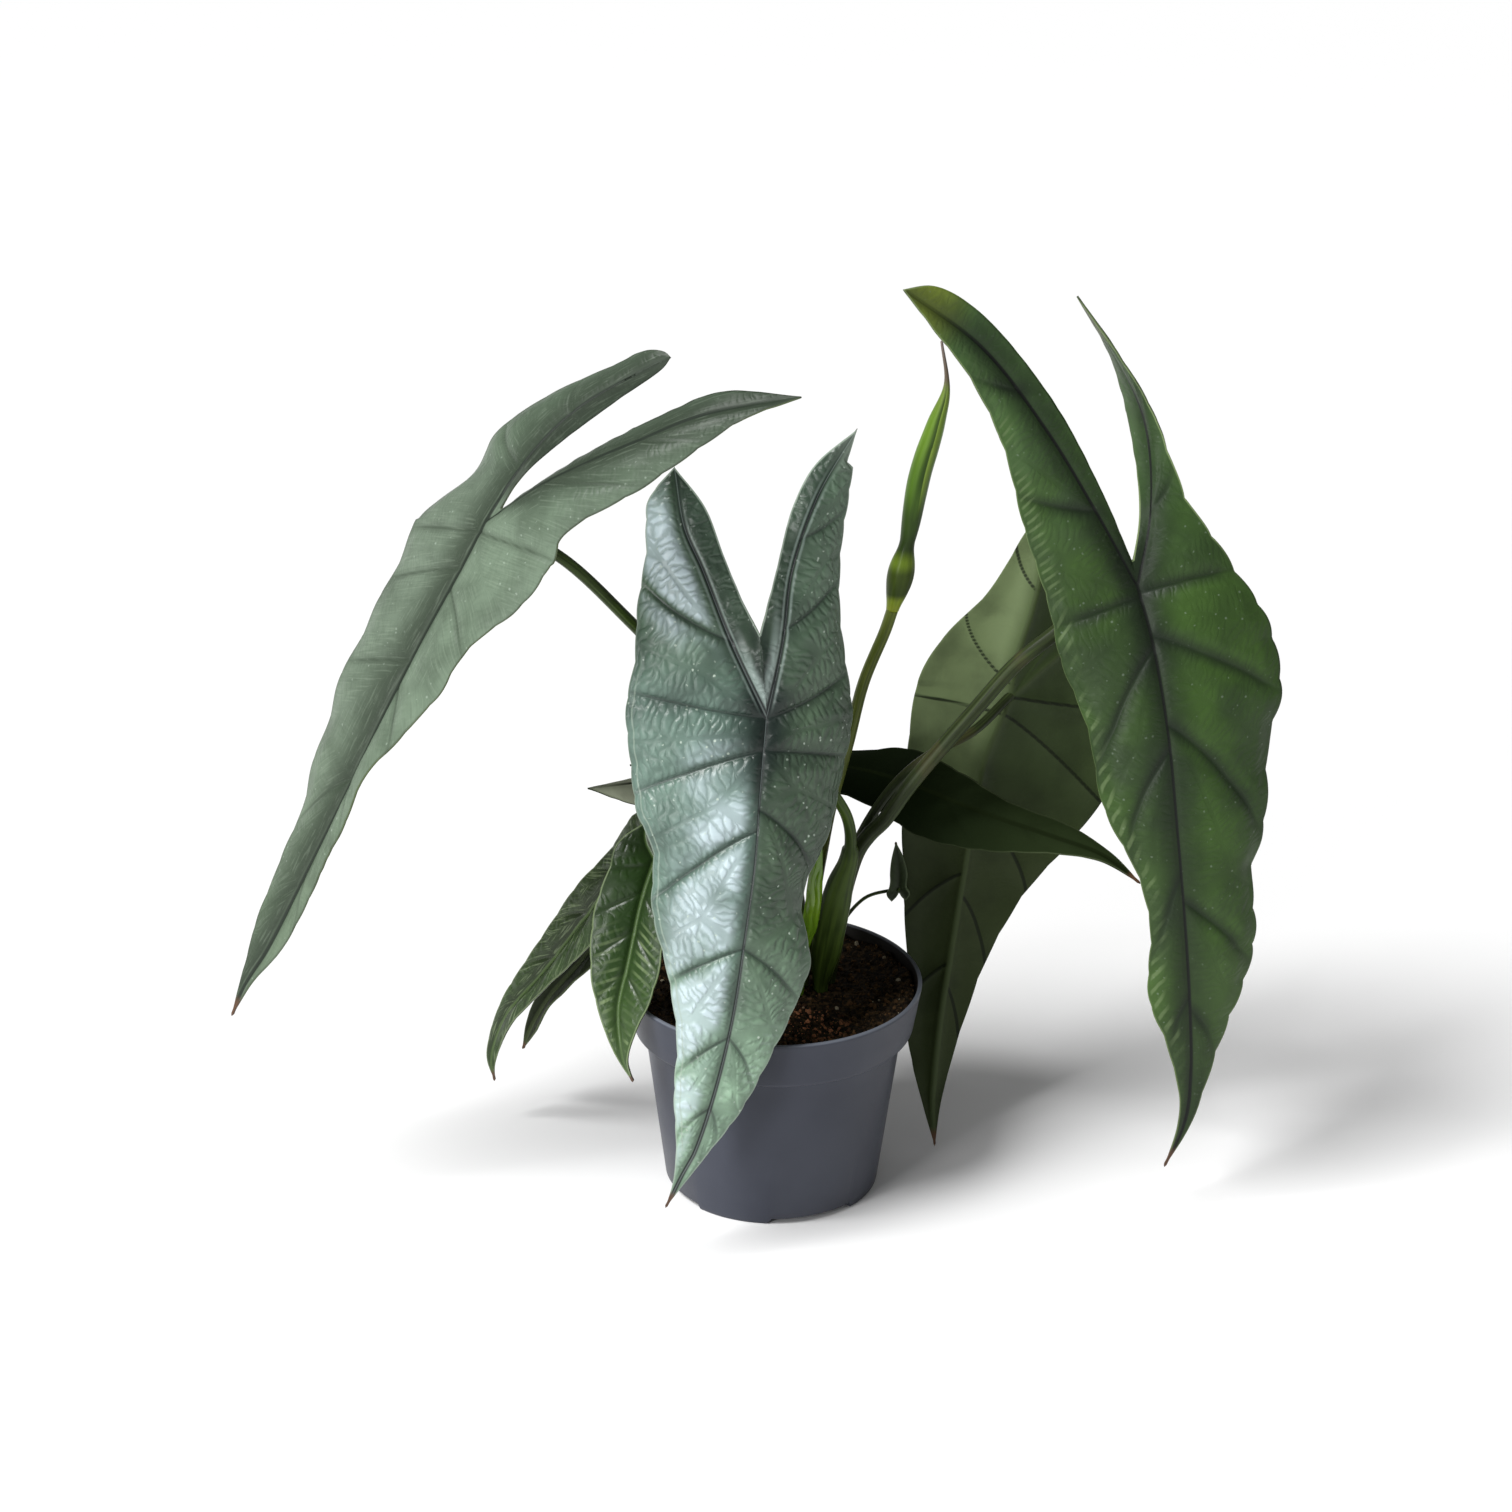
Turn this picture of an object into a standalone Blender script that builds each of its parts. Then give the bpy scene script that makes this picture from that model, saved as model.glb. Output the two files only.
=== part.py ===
"""Potted alocasia with arrow-shaped, quilted leaves, in a 12 cm nursery pot.

The origin is the centre of the pot's foot, +Z is up and the plant is seen from -Y.
Lengths are in millimetres and are scaled to metres when a mesh is made.
"""

from math import cos, pi, radians, sin, sqrt

import bpy
import numpy as np
from mathutils import Vector
from mathutils.bvhtree import BVHTree

MM = 0.001

# Gap between pieces that touch
GAP = 0.3

# Pot
POT_HEIGHT = 89.3
POT_RIM_RADIUS = 60.0
POT_FOOT_RADIUS = 43.4
POT_WALL = 1.3
POT_FLOOR = 1.6
SKIRT_HEIGHT = 20.0
SKIRT_STEP = 4.4
SKIRT_TAPER = 3.2
NOTCH_DEPTH = 2.4
NOTCH_INNER_RADIUS = 36.0
NOTCH_SLOPE = 1.5
NOTCH_COUNT = 4
NOTCH_TURN = -68.0
NOTCH_SWEEP = 48.0
DRAIN_COUNT = 6
DRAIN_RADIUS = 4.0
DRAIN_CIRCLE = 24.0
DRAIN_TURN = 7.3
DRAIN_SIDES = 14
POT_SIDES = 48
POT_SHARP_ANGLE = 35
FOOT_CHAMFER = 0.6
FOOT_RISE = 0.4
LEDGE_RISE = 0.6
LEDGE_INNER_LOW = 0.8
LEDGE_INNER_TOP = 2.0
FLOOR_STEP = (3.0, 5.0)
CUTTER_REACH = 2.0
RIM_ROUND = (0.3, 1.0)
RIM_THICKER = 0.4

# Soil
SOIL_LEVEL = 83.0
SOIL_CROWN = (17.0, 6.0)
SOIL_SIDE_GAP = 0.5
SOIL_FLAT_RADIUS = 18.0
SOIL_FLAT_FADE = 8.0
SOIL_LUMP = 1.1
SOIL_EDGE_DROP = 1.0
SOIL_STEP = (5.3, 3.2)
SOIL_LEDGE_LOW = 1.2
SOIL_LEDGE_TOP = 2.6
SOIL_SPREAD = 1.4
SOIL_RING_OFFSET = 0.15
SOIL_RINGS = 6
SOIL_SIDES = 36
HOLE_DEPTH = 7.0
HOLE_ABOVE = 6.0
HOLE_CLEARANCE = 0.45
HOLE_SIDES = 16

# Waves that lay the soil uneven: height share, turn per mm in x and in y, phase
SOIL_WAVES = (
    (0.25, 0.31, 0.27, 0.9), (0.25, 0.31, -0.27, 0.9), (0.5, 0.16, -0.22, 2.0), (0.3, 0.6, 0.5, 0.0))

# Leaf blades
BLADE = 0.8
WIDE_ACROSS = (0.0, 0.08, 0.32, 0.56, 0.8, 1.0)
NARROW_ACROSS = (0.0, 0.14, 0.55, 1.0)
INNER_ACROSS = (0.0, 0.5, 1.0)
STALK_FADE = 9.0
RIB_CENTRING = 12.0
TIP_WIDTH = 2.0
EVEN_COLUMNS = 10.0
LEAF_SHARP_ANGLE = 40
QUILT_ALONG_POWER = 0.8
QUILT_ACROSS_POWER = 0.7
QUILT_END = 0.97
WAVE_ACROSS_POWER = 2.5
WAVE_TIP_FADE = 6.0

# Depth of the rib under the blade: share at the lobe's tip, gain to the stalk, loss to the drip tip
RIB_LOBE_SHARE = 0.25
RIB_LOBE_GAIN = 0.45
RIB_TIP_LOSS = 0.7
RIB_WIDTH_LIMIT = 0.2

# Shares of a small leaf's lobe length and of its spread
SINUS_DEPTH = 0.3
LOBE_VEIN_BEND = (0.45, 0.7)
LOBE_OUTER_BEND = (0.5, 0.5)
LOBE_INNER_BEND = (0.68, 0.4)
SMALL_FULL_WIDTH = 3.0
SMALL_WAVE = 0.5

# Stems
STEM_SIDES = 8
STEM_SPACING = 11.0
STEM_SHARP_ANGLE = 50
STEM_FIT_STEPS = (1.2, 1.6, 2.2, 3.0, 4.0)
STEM_FIT_SLOPE = 0.35
STEM_SHORTEST_END = 1.0
STEM_TAPER = 1.3
STEM_FEWEST_ROWS = 8

# Colours, roughness
POT_GREY = (0.100, 0.105, 0.125)
SOIL_BROWN = (0.020, 0.014, 0.008)
BRACT_GREEN = (0.060, 0.110, 0.016)
STEM_OLIVE = (0.060, 0.075, 0.030)
SILVER_GREEN = (0.190, 0.230, 0.180)
GREY_GREEN = (0.170, 0.205, 0.165)
MID_GREEN = (0.050, 0.090, 0.035)
OLIVE_UNDERSIDE = (0.095, 0.120, 0.060)
DARK_GREEN = (0.018, 0.030, 0.010)
GLOSSY_GREEN = (0.055, 0.090, 0.035)
SPEAR_GREEN = (0.070, 0.120, 0.018)
GLOSSY = 0.25
WAXY = 0.35
SATIN = 0.4
SMOOTH = 0.45
LOOSE = 0.95


def vec(point):
    return np.array(point, dtype=float)


def unit(v):
    return v / max(np.linalg.norm(v), 1e-9)


# Smooth paths

SPAN_SAMPLES = 16


def curve_points(points):
    """Dense points on a smooth curve through the given points."""
    p = [vec(q) for q in points]
    p = [2 * p[0] - p[1]] + p + [2 * p[-1] - p[-2]]
    dense = []
    for a, b, c, d in zip(p, p[1:], p[2:], p[3:]):
        k1 = max(np.linalg.norm(b - a), 1e-6) ** 0.5
        k2 = k1 + max(np.linalg.norm(c - b), 1e-6) ** 0.5
        k3 = k2 + max(np.linalg.norm(d - c), 1e-6) ** 0.5
        for i in range(SPAN_SAMPLES):
            k = k1 + (k2 - k1) * i / SPAN_SAMPLES
            ab = ((k1 - k) * a + k * b) / k1
            bc = ((k2 - k) * b + (k - k1) * c) / (k2 - k1)
            cd = ((k3 - k) * c + (k - k2) * d) / (k3 - k2)
            abc = ((k2 - k) * ab + k * bc) / k2
            bcd = ((k3 - k) * bc + (k - k1) * cd) / (k3 - k1)
            dense.append(((k2 - k) * abc + (k - k1) * bcd) / (k2 - k1))
    dense.append(p[-2])
    return np.array(dense)


def resample(dense, rows):
    """Points spaced evenly along a dense path."""
    steps = np.linalg.norm(np.diff(dense, axis=0), axis=1)
    length = np.concatenate([[0.0], np.cumsum(steps)])
    wanted = np.linspace(0, length[-1], rows + 1)
    return np.stack([np.interp(wanted, length, dense[:, axis]) for axis in range(3)], axis=1)


def even(points, rows):
    return resample(curve_points(points), rows)


# Mesh making

def make_object(name, vertices, faces, colour, roughness, smooth_angle=None):
    mesh = bpy.data.meshes.new(name)
    mesh.from_pydata([tuple(v * MM) for v in np.asarray(vertices)], [], [tuple(f) for f in faces])
    mesh.validate()
    if smooth_angle is not None:
        mesh.shade_smooth()
        mesh.set_sharp_from_angle(angle=radians(smooth_angle))
    obj = bpy.data.objects.new(name, mesh)
    bpy.context.collection.objects.link(obj)
    material = bpy.data.materials.new(name)
    material.use_nodes = True
    shader = material.node_tree.nodes["Principled BSDF"]
    shader.inputs["Base Color"].default_value = (*colour, 1.0)
    shader.inputs["Roughness"].default_value = roughness
    shader.inputs["Metallic"].default_value = 0.0
    mesh.materials.append(material)
    return obj


def signed_volume(vertices, faces):
    total = 0.0
    for face in faces:
        a = vertices[face[0]]
        for i in range(1, len(face) - 1):
            total += np.dot(a, np.cross(vertices[face[i]], vertices[face[i + 1]]))
    return total / 6


def outward(vertices, faces):
    vertices = np.asarray(vertices)
    if signed_volume(vertices, faces) < 0:
        return [tuple(reversed(f)) for f in faces]
    return faces


def cut(target, cutters):
    """Take the cutters out of the target and remove them."""
    for cutter in cutters:
        modifier = target.modifiers.new("Cut", "BOOLEAN")
        modifier.operation = "DIFFERENCE"
        modifier.solver = "EXACT"
        modifier.object = cutter
        evaluated = target.evaluated_get(bpy.context.evaluated_depsgraph_get())
        mesh = bpy.data.meshes.new_from_object(evaluated)
        target.modifiers.clear()
        old = target.data
        target.data = mesh
        bpy.data.meshes.remove(old)
        bpy.data.objects.remove(cutter)


def cylinder(centre, radius, low, high, sides):
    vertices = []
    for z in (low, high):
        for i in range(sides):
            turn = 2 * pi * (i + 0.5) / sides
            vertices.append(vec((centre[0] + radius * cos(turn), centre[1] + radius * sin(turn), z)))
    faces = [tuple(range(sides)), tuple(range(sides, 2 * sides))]
    faces[0] = tuple(reversed(faces[0]))
    for i in range(sides):
        j = (i + 1) % sides
        faces.append((i, j, sides + j, sides + i))
    return make_object("cutter", vertices, faces, POT_GREY, SMOOTH)


# Leaf sheets

class Sheet:
    """A thin surface that is gathered row by row and thickened at the end."""

    def __init__(self):
        self.points = []
        self.relief = []
        self.rib = []
        self.faces = []
        self.known = {}

    def vertex(self, point, relief=0.0, rib=0.0):
        key = tuple(np.round(point, 4))
        if key not in self.known:
            self.known[key] = len(self.points)
            self.points.append(point)
            self.relief.append(relief)
            self.rib.append(rib)
        return self.known[key]

    def rows(self, rows, flip):
        """Join rows of vertex numbers by triangles, skipping those that shrink to nothing."""
        for row, following in zip(rows, rows[1:]):
            for i in range(len(row) - 1):
                a, b, c, d = row[i], row[i + 1], following[i + 1], following[i]
                for face in ((a, b, c), (a, c, d)):
                    if len(set(face)) == 3:
                        self.faces.append(tuple(reversed(face)) if flip else face)


def sheet_normals(points, faces):
    corners = points[faces]
    flat = np.cross(corners[:, 1] - corners[:, 0], corners[:, 2] - corners[:, 0])
    normals = np.zeros_like(points)
    for i in range(3):
        np.add.at(normals, faces[:, i], flat)
    return normals / np.maximum(np.linalg.norm(normals, axis=1, keepdims=True), 1e-9)


def quilt(along, across, laterals):
    """Height of the swelling between two side veins, from 0 to 1."""
    lengthwise = abs(sin(pi * along * laterals)) ** QUILT_ALONG_POWER
    return lengthwise * sin(pi * min(across, QUILT_END)) ** QUILT_ACROSS_POWER


def wave(along, across, waves, phase):
    """Height of the wave that runs along the margin and fades to the tip and to the midrib."""
    at_tip = min(1.0, WAVE_TIP_FADE * (1 - along))
    return sin(2 * pi * (along * waves + phase)) * across ** WAVE_ACROSS_POWER * at_tip


def half_blade(sheet, leaf, side, rib, outer, flip):
    """The strip from the midrib and basal vein to the margin, and the strip inside the lobe."""
    rib_rows, lobe_rows = leaf["rows"]
    vein = even(leaf["vein_" + side][::-1], lobe_rows)
    rail = np.concatenate([vein, rib[1:]])
    last = len(rail) - 1
    rows = []
    for i, (inside, outside) in enumerate(zip(rail, outer)):
        lobe = i <= lobe_rows
        along = i / lobe_rows if lobe else (i - lobe_rows) / rib_rows
        laterals = leaf["lobe_veins"] if lobe else leaf["side_veins"]
        width = np.linalg.norm(outside - inside)
        shrink = min(1.0, width / leaf["full_width"])
        from_stalk = np.linalg.norm(inside - rib[0])
        fade = min(1.0, from_stalk / STALK_FADE)
        share = RIB_LOBE_SHARE + RIB_LOBE_GAIN * along if lobe else 1 - RIB_TIP_LOSS * along
        depth = min(leaf["keel"] * share * fade, RIB_WIDTH_LIMIT * width)
        row = []
        even_out = max(0.0, 1 - width / EVEN_COLUMNS)
        for k, column in enumerate(leaf["across"]):
            across = column + (k / (len(leaf["across"]) - 1) - column) * even_out
            height = leaf["quilt"] * quilt(along, across, laterals) * shrink * fade
            height += leaf["camber"] * sin(pi * across) * shrink
            if not lobe:
                height += leaf["wave"] * wave(along, across, leaf["waves"], leaf["phase"]) * shrink
            inner_row = 0 < i < last
            ridge = depth if across == 0 else 0.0
            point = inside + (outside - inside) * across
            row.append(sheet.vertex(point, height * inner_row, ridge * inner_row))
        rows.append(row)
    sheet.rows(rows, flip)

    inner = even(leaf["inner_" + side], lobe_rows)
    rows = []
    for inside, outside in zip(vein, inner):
        rows.append([sheet.vertex(inside + (outside - inside) * across) for across in INNER_ACROSS])
    sheet.rows(rows, not flip)


def settle_tip(rib, left, right, lobe_rows):
    """Keep the midrib between the margins where the blade narrows to its drip tip."""
    direction = unit(right[lobe_rows] - left[lobe_rows])
    for i in range(1, len(rib) - 1):
        a = left[lobe_rows + i]
        b = right[lobe_rows + i]
        middle = (a + b) / 2
        tangent = unit(rib[i + 1] - rib[i - 1])
        sideways = (b - a) - tangent * np.dot(b - a, tangent)
        width = np.linalg.norm(sideways)
        if width > TIP_WIDTH:
            direction = sideways / width
        share = max(0.0, 1 - width / RIB_CENTRING)
        half = direction * max(width, TIP_WIDTH) / 2
        rib[i] += (middle - rib[i]) * share
        left[lobe_rows + i] += (middle - half - a) * share
        right[lobe_rows + i] += (middle + half - b) * share


def margin(lobe_edge, blade_edge, rib_rows, lobe_rows):
    """Points on the smooth margin, spaced apart in the lobe's share and in the blade's share."""
    dense = curve_points(list(lobe_edge) + list(blade_edge[1:]))
    corner = SPAN_SAMPLES * (len(lobe_edge) - 1)
    lobe = resample(dense[:corner + 1], lobe_rows)
    blade = resample(dense[corner:], rib_rows)
    return np.concatenate([lobe, blade[1:]])


def thicken(points, faces, normals, ribs):
    """A closed solid: the sheet's upper face, its underside and a wall round its boundary."""
    count = len(points)
    top = points + normals * BLADE / 2
    bottom = points - normals * (BLADE / 2 + ribs[:, None])
    solid = [tuple(f) for f in faces]
    solid += [tuple(i + count for i in reversed(f)) for f in faces]
    uses = {}
    for face in faces:
        for a, b in zip(face, np.roll(face, -1)):
            uses[(a, b)] = True
    for a, b in uses:
        if (b, a) not in uses:
            solid.append((a, a + count, b + count))
            solid.append((a, b + count, b))
    return np.concatenate([top, bottom]), solid


def make_leaf(name, leaf, colour, roughness):
    rib_rows, lobe_rows = leaf["rows"]
    rib = even(leaf["rib"], rib_rows)
    left = margin(leaf["lobe_left"], leaf["edge_left"], rib_rows, lobe_rows)
    right = margin(leaf["lobe_right"], leaf["edge_right"], rib_rows, lobe_rows)
    settle_tip(rib, left, right, lobe_rows)
    sheet = Sheet()
    half_blade(sheet, leaf, "left", rib, left, False)
    half_blade(sheet, leaf, "right", rib, right, True)
    points = np.array(sheet.points)
    faces = np.array(sheet.faces)
    normals = sheet_normals(points, faces)
    if np.dot(normals.mean(axis=0), vec(leaf["faces"])) < 0:
        faces = faces[:, ::-1]
        normals = -normals
    points = points + normals * np.array(sheet.relief)[:, None]
    normals = sheet_normals(points, faces)
    vertices, solid = thicken(points, faces, normals, np.array(sheet.rib))
    return make_object(name, vertices, outward(vertices, solid), colour, roughness, LEAF_SHARP_ANGLE)


# Stems

def stem_frames(path):
    """A sideways pair of directions at each point, turning as little as possible."""
    tangents = np.gradient(path, axis=0)
    tangents = tangents / np.linalg.norm(tangents, axis=1, keepdims=True)
    side = unit(np.cross(tangents[0], vec((0, 1, 0))))
    frames = []
    for tangent in tangents:
        side = unit(side - tangent * np.dot(side, tangent))
        frames.append((tangent, side, np.cross(tangent, side)))
    return frames


def ring_points(centre, frame, section, sides):
    """A round section, or a gutter that is open to the back as its hollow goes from 0 to 1."""
    _, side, front = frame
    half_width, depth, hollow = section
    back = -depth + (2 * depth - SHEATH_WALL) * hollow
    ring = []
    for k in range(sides):
        turn = 2 * pi * (k + 0.5) / sides
        if sin(turn) > 0:
            width = half_width
            reach = depth * sin(turn)
        else:
            width = half_width - SHEATH_EDGE * hollow
            reach = -back * sin(turn)
        ring.append(centre + width * cos(turn) * side + reach * front)
    return ring


def make_tube(name, path, section, colour, roughness, sides=STEM_SIDES, blade=None):
    """A stem. section(along, height) gives its half-width, its depth and how hollow its back is."""
    rings = []
    for i, (centre, frame) in enumerate(zip(path, stem_frames(path))):
        here = section(i / (len(path) - 1), centre[2])
        rings.append(ring_points(centre, frame, here, sides))
    top = path[-1]
    if blade is not None:
        rings, top = fit_to_blade(rings, path, blade)
    vertices = [point for ring in rings for point in ring] + [path[0], top]
    faces = []
    for i in range(len(rings) - 1):
        for k in range(sides):
            j = (k + 1) % sides
            faces.append((i * sides + k, i * sides + j, (i + 1) * sides + j, (i + 1) * sides + k))
    foot_centre = len(vertices) - 2
    top_centre = len(vertices) - 1
    last = (len(rings) - 1) * sides
    for k in range(sides):
        j = (k + 1) % sides
        faces.append((foot_centre, j, k))
        faces.append((top_centre, last + k, last + j))
    return make_object(name, vertices, outward(vertices, faces), colour, roughness, STEM_SHARP_ANGLE)


def fit_to_blade(rings, path, blade):
    """End the stem a gap short of the blade's underside, with a top that follows it."""
    tree = BVHTree.FromObject(blade, bpy.context.evaluated_depsgraph_get())
    ring = rings[-2]
    for step in STEM_FIT_STEPS:
        ends = []
        for start, towards in list(zip(ring, rings[-1])) + [(path[-2], path[-1])]:
            direction = unit(towards - start)
            hit, normal, _, distance = tree.ray_cast(Vector(start * MM), Vector(direction))
            slope = max(abs(np.dot(direction, vec(normal))), STEM_FIT_SLOPE)
            ends.append(start + direction * max(STEM_SHORTEST_END, distance / MM - step * GAP / slope))
        nearest = min(tree.find_nearest(Vector(point * MM))[3] for point in cap_samples(ends)) / MM
        if nearest > GAP:
            break
    return rings[:-1] + [ends[:-1]], ends[-1]


def cap_samples(ends):
    """Points over a stem's top: its edge, its centre and the middles of its spokes and sides."""
    centre = ends[-1]
    edge = ends[:-1]
    samples = list(ends)
    for a, b in zip(edge, edge[1:] + edge[:1]):
        samples += [(a + b) / 2, (a + centre) / 2, (a + b + centre) / 3]
    return samples


# The leaves, from the photograph's proportions: x right, y back and z up from the foot's centre

FRONT = dict(
    rib=[(-4, -42, 220), (-6, -52, 196), (-8, -60, 166), (-12, -66, 135), (-16, -70, 107),
         (-23, -73, 75), (-31, -75, 49), (-37, -76, 37), (-42, -75, 25)],
    vein_left=[(-4, -42, 220), (-18, -36, 249), (-29, -30, 276), (-36, -25, 291), (-40, -18, 313)],
    vein_right=[(-4, -42, 220), (2, -36, 250), (5, -30, 276), (14, -24, 303), (29, -16, 328)],
    lobe_left=[(-40, -18, 313), (-50, -20, 300), (-51, -24, 280), (-54, -29, 260), (-55, -34, 240),
               (-58, -37, 224)],
    edge_left=[(-58, -37, 224), (-57, -41, 206), (-54, -47, 184), (-48, -51, 170), (-48, -56, 148),
               (-43, -62, 127), (-38, -68, 98), (-39, -72, 75), (-38, -74, 52), (-39, -76, 38),
               (-42, -75, 25)],
    lobe_right=[(29, -16, 328), (27, -18, 306), (24, -18, 280), (24, -20, 256), (27, -22, 233),
                (29, -24, 219)],
    edge_right=[(29, -24, 219), (26, -30, 191), (20, -38, 170), (11, -48, 145), (14, -58, 124),
                (9, -62, 109), (1, -68, 94), (-11, -73, 70), (-25, -75, 50), (-35, -76, 36),
                (-42, -75, 25)],
    inner_left=[(-40, -18, 313), (-28, -22, 298), (-21, -28, 281), (-14, -33, 265), (-7, -37, 252)],
    inner_right=[(29, -16, 328), (13, -20, 315), (5, -23, 300), (-1, -30, 276), (-7, -37, 252)],
    rows=(24, 12), across=WIDE_ACROSS, side_veins=8, lobe_veins=4, full_width=30,
    quilt=1.6, camber=2.5, keel=1.4, wave=0.9, waves=5, phase=0.1, faces=(0, -1, 0.3))

LEFT = dict(
    rib=[(-111, -30, 295), (-119, -31, 279), (-135, -32, 249), (-152, -33, 215), (-168, -33, 181),
         (-182, -32, 152), (-198, -31, 119), (-209, -30, 99), (-216, -30, 85)],
    vein_left=[(-111, -30, 295), (-97, -29, 317), (-78, -30, 338), (-58, -33, 352), (-41, -36, 362)],
    vein_right=[(-111, -30, 295), (-92, -40, 312), (-72, -48, 325), (-52, -54, 336), (-29, -58, 347),
                (7, -60, 355)],
    lobe_left=[(-41, -36, 362), (-62, -22, 354), (-89, -8, 337), (-109, 1, 319), (-117, 4, 303),
               (-139, 3, 284)],
    edge_left=[(-139, 3, 284), (-151, -2, 259), (-167, -8, 229), (-178, -12, 198), (-189, -18, 163),
               (-202, -23, 133), (-210, -27, 107), (-216, -30, 85)],
    lobe_right=[(7, -60, 355), (-13, -64, 348), (-32, -66, 335), (-51, -66, 321), (-80, -62, 301),
                (-84, -62, 290)],
    edge_right=[(-84, -62, 290), (-99, -60, 270), (-121, -58, 249), (-129, -57, 233), (-155, -50, 202),
                (-170, -44, 169), (-181, -39, 144), (-194, -35, 117), (-207, -32, 101), (-216, -30, 85)],
    inner_left=[(-41, -36, 362), (-62, -31, 342), (-84, -29, 324), (-98, -30, 311), (-105, -31, 300)],
    inner_right=[(7, -60, 355), (-22, -52, 354), (-44, -46, 343), (-74, -38, 324), (-94, -33, 309),
                 (-105, -31, 300)],
    rows=(24, 12), across=WIDE_ACROSS, side_veins=8, lobe_veins=4, full_width=28,
    quilt=1.5, camber=2.0, keel=1.4, wave=0.9, waves=6, phase=0.3, faces=(-0.6, -0.6, 0.5))

RIGHT = dict(
    rib=[(138, -8, 263), (144, -17, 243), (151, -26, 208), (156, -31, 170), (161, -33, 130),
         (165, -33, 92), (167, -31, 63), (166, -29, 42), (159, -28, 19)],
    vein_left=[(138, -8, 263), (120, -6, 294), (101, -8, 325), (75, -12, 359), (45, -18, 383)],
    vein_right=[(138, -8, 263), (142, 0, 290), (139, 8, 322), (128, 12, 346), (111, 14, 371)],
    lobe_left=[(45, -18, 383), (59, -20, 365), (69, -20, 352), (83, -18, 324), (93, -15, 288),
               (103, -14, 258)],
    edge_left=[(103, -14, 258), (109, -17, 234), (120, -20, 208), (126, -25, 180), (142, -30, 148),
               (147, -32, 129), (148, -33, 98), (156, -33, 78), (163, -31, 52), (163, -30, 38),
               (159, -28, 19)],
    lobe_right=[(111, 14, 371), (126, 6, 352), (140, 4, 331), (158, 1, 293), (168, 0, 280), (177, -2, 267)],
    edge_right=[(177, -2, 267), (191, -6, 246), (196, -9, 223), (193, -12, 203), (192, -17, 178),
                (191, -20, 162), (188, -22, 148), (190, -26, 116), (181, -29, 86), (174, -30, 60),
                (168, -29, 38), (159, -28, 19)],
    inner_left=[(45, -18, 383), (74, -10, 370), (103, -4, 336), (123, -3, 300), (136, -5, 272)],
    inner_right=[(111, 14, 371), (126, 20, 344), (135, 14, 313), (138, 2, 289), (136, -5, 272)],
    rows=(24, 12), across=WIDE_ACROSS, side_veins=8, lobe_veins=5, full_width=30,
    quilt=1.6, camber=2.5, keel=1.4, wave=1.1, waves=6, phase=0.0, faces=(0, -1, 0.3))

BACK = dict(
    rib=[(94, 40, 197), (90, 40, 185), (85, 40, 170), (81, 38, 145), (77, 36, 115), (73, 32, 85),
         (69, 26, 55), (67, 20, 26), (68, 15, 4)],
    vein_left=[(94, 40, 197), (96, 42, 212), (102, 46, 232), (108, 52, 259), (112, 56, 283)],
    vein_right=[(94, 40, 197), (106, 47, 206), (122, 56, 216), (138, 64, 229), (150, 72, 243)],
    lobe_left=[(112, 56, 283), (98, 54, 261), (85, 52, 238), (66, 50, 217), (57, 48, 200)],
    edge_left=[(57, 48, 200), (54, 46, 177), (52, 43, 140), (53, 39, 110), (55, 35, 82), (56, 28, 48),
               (63, 20, 20), (68, 15, 4)],
    lobe_right=[(150, 72, 243), (159, 70, 222), (156, 64, 192), (147, 59, 170)],
    edge_right=[(147, 59, 170), (129, 50, 138), (109, 43, 116), (93, 37, 92), (81, 30, 62),
                (71, 21, 26), (68, 15, 4)],
    inner_left=[(112, 56, 283), (118, 57, 264), (120, 56, 247), (119, 54, 234), (117, 52, 225)],
    inner_right=[(150, 72, 243), (139, 67, 239), (130, 61, 233), (122, 56, 228), (117, 52, 225)],
    rows=(20, 10), across=WIDE_ACROSS, side_veins=7, lobe_veins=4, full_width=30,
    quilt=1.4, camber=2.0, keel=1.3, wave=0.9, waves=5, phase=0.2, faces=(0, 1, -0.1))

FLAT = dict(
    rib=[(-6, 34, 168), (12, 33, 169), (30, 31, 169), (52, 26, 165), (72, 20, 159), (90, 15, 154),
         (112, 8.5, 149), (130, 3.5, 144), (146, -2, 134)],
    vein_left=[(-6, 34, 168), (-20, 29, 169), (-38, 21, 169), (-56, 14, 169), (-75, 8, 169)],
    vein_right=[(-6, 34, 168), (-18, 40, 167), (-32, 46, 165), (-46, 52, 162), (-60, 57, 158)],
    lobe_left=[(-75, 8, 169), (-57, 4, 164), (-38, 6, 161), (-12, 12, 161)],
    edge_left=[(-12, 12, 161), (8, 15, 163), (26, 16, 164), (39, 16, 158), (57, 15, 146),
               (82, 10, 142), (112, 5, 143), (130, 1, 142), (146, -2, 134)],
    lobe_right=[(-60, 57, 158), (-42, 62, 157), (-22, 62, 159), (-4, 58, 162)],
    edge_right=[(-4, 58, 162), (14, 52, 167), (30, 46, 170), (55, 36, 175), (74, 28, 169), (92, 21, 160),
                (121, 12, 151), (136, 4, 143), (146, -2, 134)],
    inner_left=[(-75, 8, 169), (-58, 20, 168), (-42, 28, 168), (-28, 33, 168), (-18, 35, 168)],
    inner_right=[(-60, 57, 158), (-48, 47, 163), (-36, 42, 165), (-26, 39, 167), (-18, 35, 168)],
    rows=(18, 8), across=WIDE_ACROSS, side_veins=7, lobe_veins=4, full_width=22,
    quilt=1.0, camber=1.5, keel=1.2, wave=0.6, waves=5, phase=0.4, faces=(0, -0.2, 1))


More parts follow.
